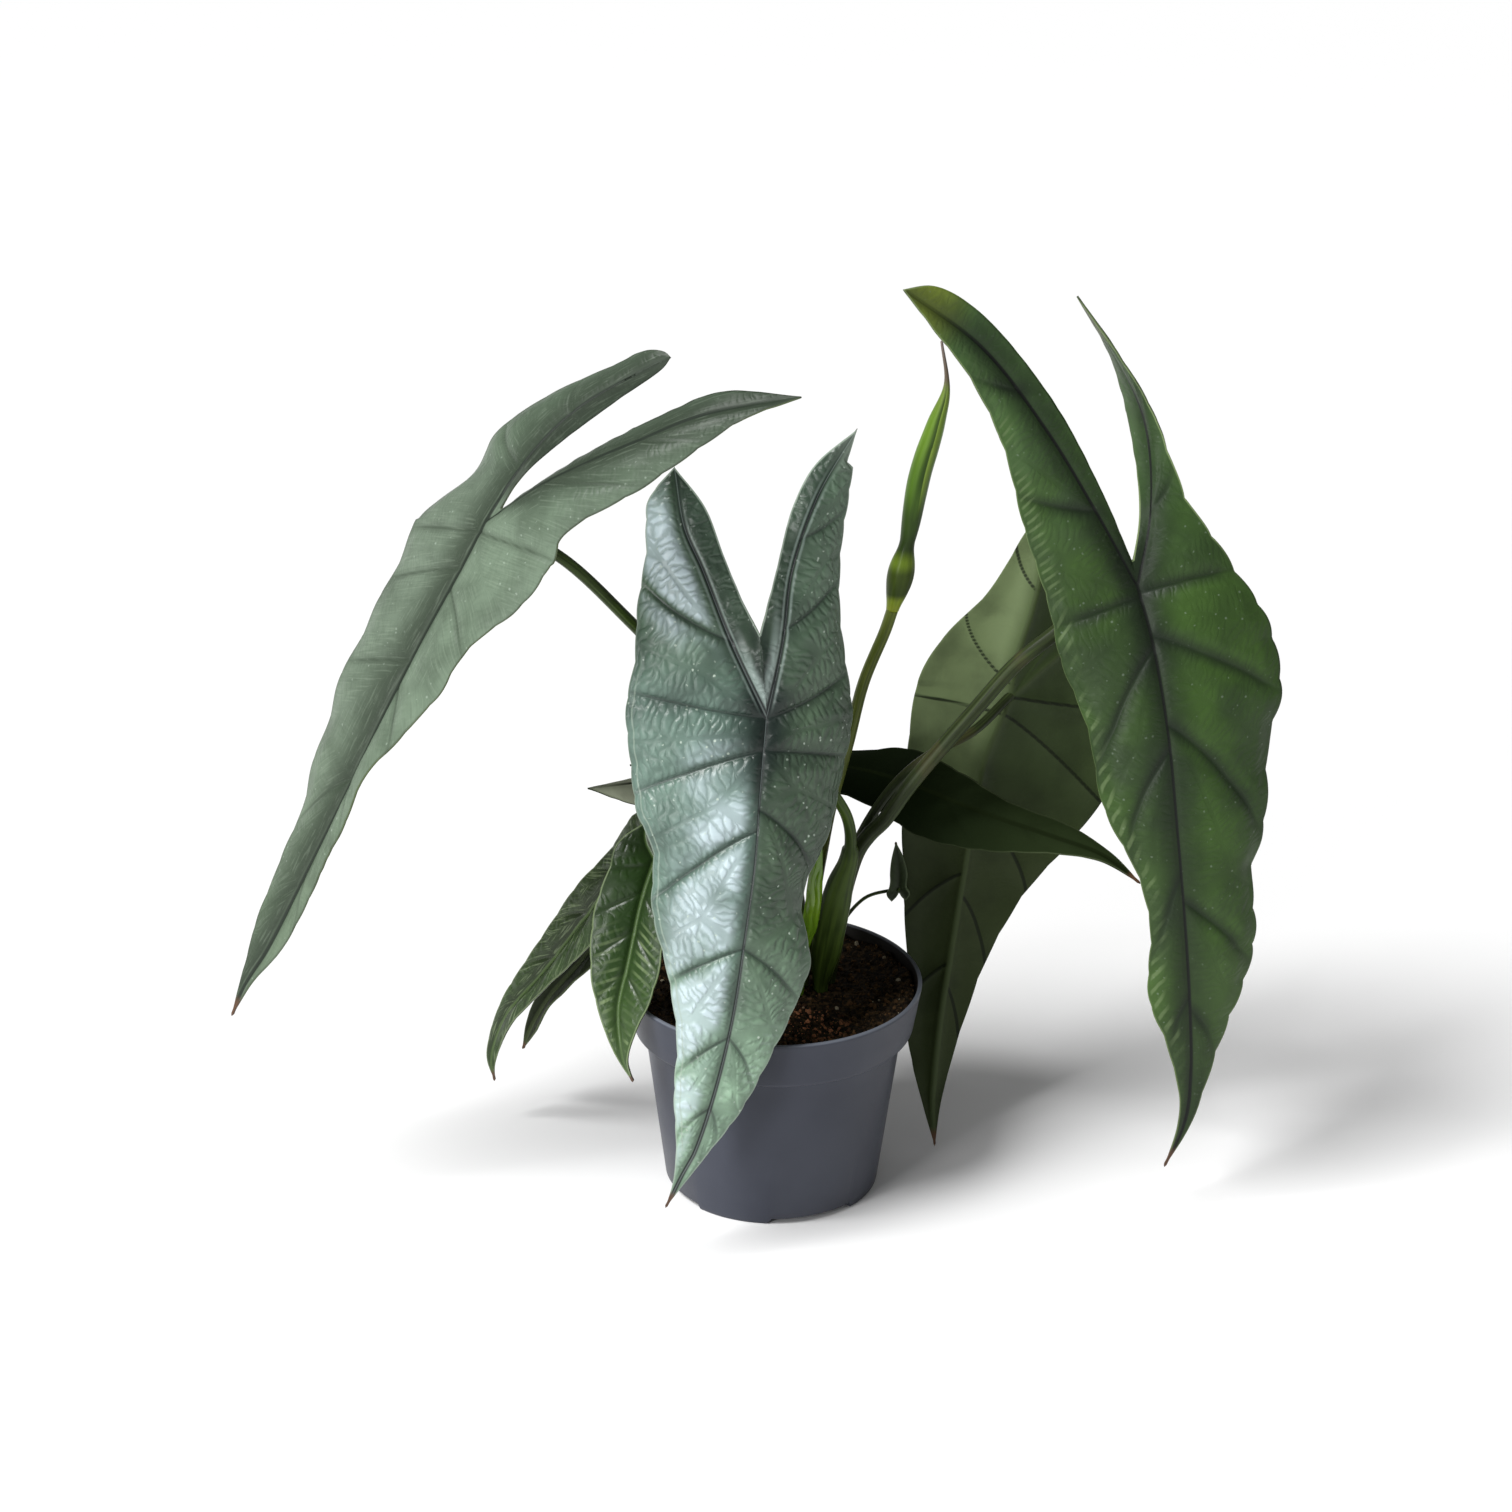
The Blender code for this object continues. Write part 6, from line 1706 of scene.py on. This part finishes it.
floor_radius = pot_radius(raised_floor) - POT_WALL
pot_profile = [
    (0, 0), (12, 0), (NOTCH_INNER - 1.5, 0), (NOTCH_INNER, 0), (POT_FOOT - 0.9, 0), (POT_FOOT - 0.35, 0.15),
    (POT_FOOT, 0.6), (pot_radius(2.8), 2.8), (pot_radius(30), 30), (pot_radius(60), 60),
    (body_top - 0.1, ledge - 0.8), (body_top + 0.1, ledge - 0.2), (body_top + 0.6, ledge),
    (skirt_low - 1.3, ledge), (skirt_low - 0.6, ledge + 0.15), (skirt_low - 0.15, ledge + 0.6),
    (skirt_low + 0.1, ledge + 1.4),
    (skirt_low + 1.6, ledge + 10), (POT_RIM - 0.2, POT_HEIGHT - 1.6), (POT_RIM, POT_HEIGHT - 0.9),
    (POT_RIM - 0.15, POT_HEIGHT - 0.35), (POT_RIM - 0.5, POT_HEIGHT), (POT_RIM - POT_WALL - 0.1, POT_HEIGHT),
    (POT_RIM - POT_WALL - 0.5, POT_HEIGHT - 0.5), (skirt_low - POT_WALL, ledge + 2.0),
    (body_top - POT_WALL, ledge + 0.8), (floor_radius, raised_floor), (NOTCH_INNER - 3, raised_floor),
    (NOTCH_INNER - 5, POT_FLOOR), (0, POT_FLOOR)]
print("the pot's profile has", len(pot_profile), "points")

# %% [markdown]
# A Screw modifier would turn the profile too, but the notches of the foot and the lumps of the soil need a
# lift that depends on where a point is. So the turning is done here, with that lift as a function.

# %% Turning a profile
def lathe(profile, sides, lift):
    """A turned mesh. The profile starts and ends on the axis."""
    points = []
    starts = []
    for radius, height in profile:
        starts.append(len(points))
        for i in range(sides if radius else 1):
            turn = 2 * pi * i / sides
            points.append((radius * cos(turn), radius * sin(turn), height + lift(radius, height, turn)))
    faces = []
    for a, b, (radius, _), (following, _) in zip(starts, starts[1:], profile, profile[1:]):
        for i in range(sides):
            j = (i + 1) % sides
            if radius == 0:
                faces.append((a, b + i, b + j))
            elif following == 0:
                faces.append((a + i, b, a + j))
            else:
                faces.append((a + i, b + i, b + j, a + j))
    mesh = bpy.data.meshes.new("turned")
    mesh.from_pydata((np.array(points) * MM).tolist(), [], faces)
    return faces_out(mesh)


def notch_lift(radius, height, turn):
    if height > NOTCH_EDGE or radius < NOTCH_INNER:
        return 0.0
    spacing = 360 / NOTCH_COUNT
    from_centre = abs((turn * 180 / pi - NOTCH_TURN + spacing / 2) % spacing - spacing / 2)
    return (NOTCH_DEPTH - height) if from_centre <= NOTCH_SWEEP / 2 else 0.0


# %% [markdown]
# The drain holes are punched through the floor after moulding. A Boolean modifier does the same: a cylinder
# for each hole is taken away from the pot. Then the edges sharper than 50 degrees are marked, so that the
# rest is shaded smooth.

# %% The pot, with its drain holes
DRILL_SIDES = 28
DRILL_LENGTH = 10.0
SHARP_ANGLE = radians(50)

pot = placed("pot_shell", lathe(pot_profile, POT_SIDES, notch_lift))
for i in range(DRAIN_COUNT):
    turn = radians(DRAIN_TURN) + 2 * pi * i / DRAIN_COUNT
    bpy.ops.mesh.primitive_cylinder_add(
        vertices=DRILL_SIDES, radius=DRAIN_RADIUS * MM, depth=DRILL_LENGTH * MM,
        location=(DRAIN_CIRCLE * cos(turn) * MM, DRAIN_CIRCLE * sin(turn) * MM, 0))
    drill = bpy.context.object
    cut = pot.modifiers.new("drain", "BOOLEAN")
    cut.operation = "DIFFERENCE"
    cut.solver = "EXACT"
    cut.object = drill
    plain(pot)
    bpy.data.objects.remove(drill)
pot.data.shade_smooth()
pot.data.set_sharp_from_angle(angle=SHARP_ANGLE)
print("the pot with its holes has", len(pot.data.polygons), "faces")

# %% [markdown]
# The plastic is a blue grey with a satin surface. Inside, the wall above the soil is dark brown up to just
# below the rim; it is told from the outside by the way the surface faces: towards the pot's axis or away from
# it. A thin pale band on the top of the rim is a painted highlight.

# %% The pot's plastic
INNER_DARK_TOP = (0.0912, 0.092)
RIM_PAINTED_HIGHLIGHT = (0.0884, 0.0892)


def pot_plastic():
    material, tree, shader, body = new_material("pot_plastic")
    patches = noise(tree, body, 30.0, 3.0)
    colour = mix(tree, smooth(tree, patches, 0.3, 0.7), rgb(57, 60, 70), rgb(63, 66, 76))
    outward = stretch(tree, body, (1.0, 1.0, 0.0))
    normal = add(tree, "ShaderNodeNewGeometry").outputs["Normal"]
    facing = add(tree, "ShaderNodeVectorMath", {0: outward, 1: normal}, operation="DOT_PRODUCT")
    inside = near(tree, facing.outputs["Value"], -0.01, -0.002)
    height = axis(tree, body, 2)
    inner_dark_reach = calc(tree, "ADD", height, calc(tree, "MULTIPLY", noise(tree, body, 160.0, 3.0), 0.004))
    # The inner wall is dark brown up to just below the rim
    colour = mix(tree, times(tree, inside, near(tree, inner_dark_reach, *INNER_DARK_TOP)), colour, rgb(20, 16, 11))
    # Painted highlight: a thin pale band on the top of the rim
    colour = mix(tree, smooth(tree, height, *RIM_PAINTED_HIGHLIGHT, 0.0, 0.45), colour, rgb(132, 138, 148))
    grain = noise(tree, body, 1500.0, 2.0)
    rough = calc(tree, "ADD", calc(tree, "MULTIPLY", grain, 0.12), 0.32)
    dress(tree, shader, colour, rough, 0.22, height=grain, strength=0.12, depth=0.0001)
    return material


pot.data.materials.clear()
pot.data.materials.append(pot_plastic())
finish_piece(pot, ["pot"])

# %% [markdown]
# ## The soil
# Peat is a heap of crumbs. Its body is turned like the pot, with a lumpy top. Geometry Nodes scatter some
# thousands of crumbs over it, each a ball of twenty faces, pressed and turned by chance. Every crumb has a
# tone of its own, from black through brown to a rare pale grain.

# %% The soil's body
SOIL_SIDES = 120
SOIL_RINGS = 50
SOIL_CROWN = (17.0, 6.0)
SOIL_SIDE_GAP = 0.5
SOIL_SPREAD = 1.4
SOIL_WAVES = ((0.25, 0.31, 0.27, 0.9), (0.25, 0.31, -0.27, 0.9), (0.5, 0.16, -0.22, 2.0),
              (0.3, 0.6, 0.5, 0.0))
SOIL_WAVE_HEIGHT = 1.1
SOIL_LUMPS = 0.35
SOIL_FLAT_RADIUS = 18.0
SOIL_FLAT_BLEND = 8.0
SOIL_HEAP = 2.2
SOIL_HEAP_WIDTH = 9.0

skirt_inside = skirt_low - POT_WALL - SOIL_SIDE_GAP


def soil_lift(radius, height, turn):
    if height < SOIL_LEVEL - 0.01:
        return 0.0
    x = radius * cos(turn)
    y = radius * sin(turn)
    from_crown = sqrt((x - SOIL_CROWN[0]) ** 2 + (y - SOIL_CROWN[1]) ** 2)
    fade = min(1.0, max(0.0, (from_crown - SOIL_FLAT_RADIUS) / SOIL_FLAT_BLEND))
    small = SOIL_LUMPS * sin(1.3 * x + 0.4 * y) * sin(1.1 * y - 0.5 * x)
    heap = SOIL_HEAP * float(ease((radius - skirt_inside) / SOIL_HEAP_WIDTH + 1))
    waves = sum(share * sin(a * x + b * y + phase) for share, a, b, phase in SOIL_WAVES)
    return small + heap + fade * SOIL_WAVE_HEIGHT * waves


soil_profile = [
    (0, 2.0), (30, 2.0), (32.5, 4.4), (floor_radius - SOIL_SIDE_GAP, 4.4),
    (body_top - POT_WALL - SOIL_SIDE_GAP, ledge + 1.2), (skirt_inside, ledge + 2.6),
    (skirt_inside + SOIL_SPREAD, SOIL_LEVEL - 1.0), (skirt_inside + SOIL_SPREAD + 0.2, SOIL_LEVEL)]
soil_profile += [(skirt_inside * (1 - (ring + 0.15) / SOIL_RINGS), SOIL_LEVEL) for ring in range(SOIL_RINGS)]
soil_profile.append((0, SOIL_LEVEL))
print("the soil's profile has", len(soil_profile), "points")

# %% [markdown]
# The crumbs are strewn by the tree: Distribute Points on Faces picks places on the upper side, Instance on
# Points puts a ball there, and Random Value gives each a size, a squeeze, a turn and a tone. The seeds are
# fixed, so the same heap comes out every time.

# %% The tree that scatters crumbs
CRUMB_RARITY = 2.5
FACING_UP = 0.5
WHOLE_TURN = 6.28


def scatter_tree():
    group = new_tree("scatter")
    ids = sockets(group, (
        ("Crumbs a square metre", "Float", 350000.0), ("Smallest", "Float", 0.0003),
        ("Largest", "Float", 0.0013), ("Lowest", "Float", 0.08), ("Seed", "Int", 5),
        ("Skin", "Material", None)))
    start = add(group, "NodeGroupInput").outputs
    height = axis(group, add(group, "GeometryNodeInputPosition").outputs[0], 2)
    up = axis(group, add(group, "GeometryNodeInputNormal").outputs[0], 2)
    high = calc(group, "MULTIPLY", calc(group, "GREATER_THAN", height, start["Lowest"]),
                calc(group, "GREATER_THAN", up, FACING_UP))
    spread = add(group, "GeometryNodeDistributePointsOnFaces", {
        "Mesh": start["Geometry"], "Selection": high, "Density": start["Crumbs a square metre"],
        "Seed": start["Seed"]})

    def chance(least, most, seed):
        """A random number, or a random vector where the limits are vectors."""
        vector = isinstance(least, tuple)
        first = 0 if vector else 2
        made = add(group, "FunctionNodeRandomValue", {first: least, first + 1: most, "Seed": seed},
                   data_type="FLOAT_VECTOR" if vector else "FLOAT")
        return made.outputs[0 if vector else 1]

    ball = add(group, "GeometryNodeMeshIcoSphere", {"Radius": 1.0, "Subdivisions": 1})
    size = calc(group, "POWER", chance(0.0, 1.0, 1), CRUMB_RARITY)
    girth = smooth(group, size, 0.0, 1.0, start["Smallest"], start["Largest"])
    pressed = scaled(group, chance((0.6, 0.6, 0.5), (1.4, 1.2, 0.9), 2), girth)
    turned = chance((0.0, 0.0, 0.0), (WHOLE_TURN, WHOLE_TURN, WHOLE_TURN), 3)
    crumbs = add(group, "GeometryNodeInstanceOnPoints", {
        "Points": spread.outputs["Points"], "Instance": ball.outputs["Mesh"], "Scale": pressed,
        "Rotation": turned})
    toned = stored(group, crumbs.outputs[0], "tone", chance(0.0, 1.0, 4), domain="INSTANCE")
    both = add(group, "GeometryNodeJoinGeometry")
    group.links.new(toned, both.inputs[0])
    group.links.new(start["Geometry"], both.inputs[0])
    tree_end(group, both.outputs[0], start["Skin"])
    return group, ids


scatter_group, scatter_ids = scatter_tree()
print("the scatter tree has", len(scatter_group.nodes), "nodes and the inputs", list(scatter_ids))

# %% [markdown]
# The peat is darkest at the back, where the leaves shade it. Loose bark has gathered in front of the crown,
# so the crumbs there are redder and lighter.

# %% The peat
BARK_PLACE = (0.015, -0.03, 0.083)
BARK_REACH = 0.019


def peat():
    material, tree, shader, body = new_material("peat")
    tone = carried(tree, "tone")
    grain = noise(tree, body, 420.0, 5.0, 0.65)
    colour = mix(tree, smooth(tree, grain, 0.42, 0.7), rgb(20, 16, 11), rgb(70, 54, 34))
    colour = mix(tree, smooth(tree, tone, 0.45, 0.95, 0.0, 0.9), colour, rgb(90, 66, 42))
    from_bark = add(tree, "ShaderNodeVectorMath", {0: body, 1: BARK_PLACE}, operation="DISTANCE")
    near_bark = near(tree, from_bark.outputs["Value"], 0.3 * BARK_REACH, BARK_REACH)
    bark = times(tree, near_bark, smooth(tree, tone, 0.3, 0.6))
    colour = mix(tree, bark, colour, rgb(176, 118, 86))
    colour = mix(tree, smooth(tree, tone, 0.988, 0.992, 0.0, 0.8), colour, rgb(168, 160, 138))
    dress(tree, shader, colour, 0.7, 0.08, height=grain, strength=0.8, depth=0.001)
    return material


soil_mesh = lathe(soil_profile, SOIL_SIDES, soil_lift)
soil_mesh.name = "soil_body"
soil_mesh.shade_smooth()
soil = placed("soil_body", soil_mesh)
grown(soil, scatter_group, scatter_ids, {"Skin": peat()})
finish_piece(soil, ["soil"])

# %% [markdown]
# ## Floor and light
# The plant stands on a white floor under one large soft light from the upper left. A long softbox low on
# the left gives the front leaf part of its silvery sheen; the rest is a painted sheen in its skin.

# %% Floor and light
FLOOR_SIZE = 30.0
FLOOR_WHITE = (0.88, 0.88, 0.88, 1.0)
SKY_WHITE = (1.0, 1.0, 1.0, 1.0)
SKY_STRENGTH = 0.22

bpy.ops.mesh.primitive_plane_add(size=FLOOR_SIZE, location=(0, 0, 0))
floor = bpy.context.object
floor.name = "floor"
paint = bpy.data.materials.new("floor_white")
paint.use_nodes = True
fill(paint.node_tree, paint.node_tree.nodes["Principled BSDF"], {"Base Color": FLOOR_WHITE, "Roughness": 0.9})
floor.data.materials.append(paint)

world = bpy.data.worlds.new("studio")
world.use_nodes = True
fill(world.node_tree, world.node_tree.nodes["Background"], {"Color": SKY_WHITE, "Strength": SKY_STRENGTH})
bpy.context.scene.world = world


def light(name, kind, place, energy):
    """A light that shines from a place towards the plant's middle."""
    lamp = bpy.data.lights.new(name, kind)
    lamp.energy = energy
    lit = bpy.data.objects.new(name, lamp)
    lit.location = place
    lit.rotation_mode = "QUATERNION"
    lit.rotation_quaternion = (Vector(place) - CAMERA_TARGET * MM).to_track_quat("Z", "Y")
    bpy.context.scene.collection.objects.link(lit)
    return lamp


key = light("key", "SUN", (-1.03, -0.7, 1.8), 3.7)
key.angle = radians(24)
softbox = light("softbox", "AREA", (-1.0, -1.3, 0.45), 10.0)
softbox.shape = "RECTANGLE"
softbox.size = 0.35
softbox.size_y = 0.7
bpy.context.scene.view_settings.view_transform = "Standard"
print("lights:", key.name, "and", softbox.name)
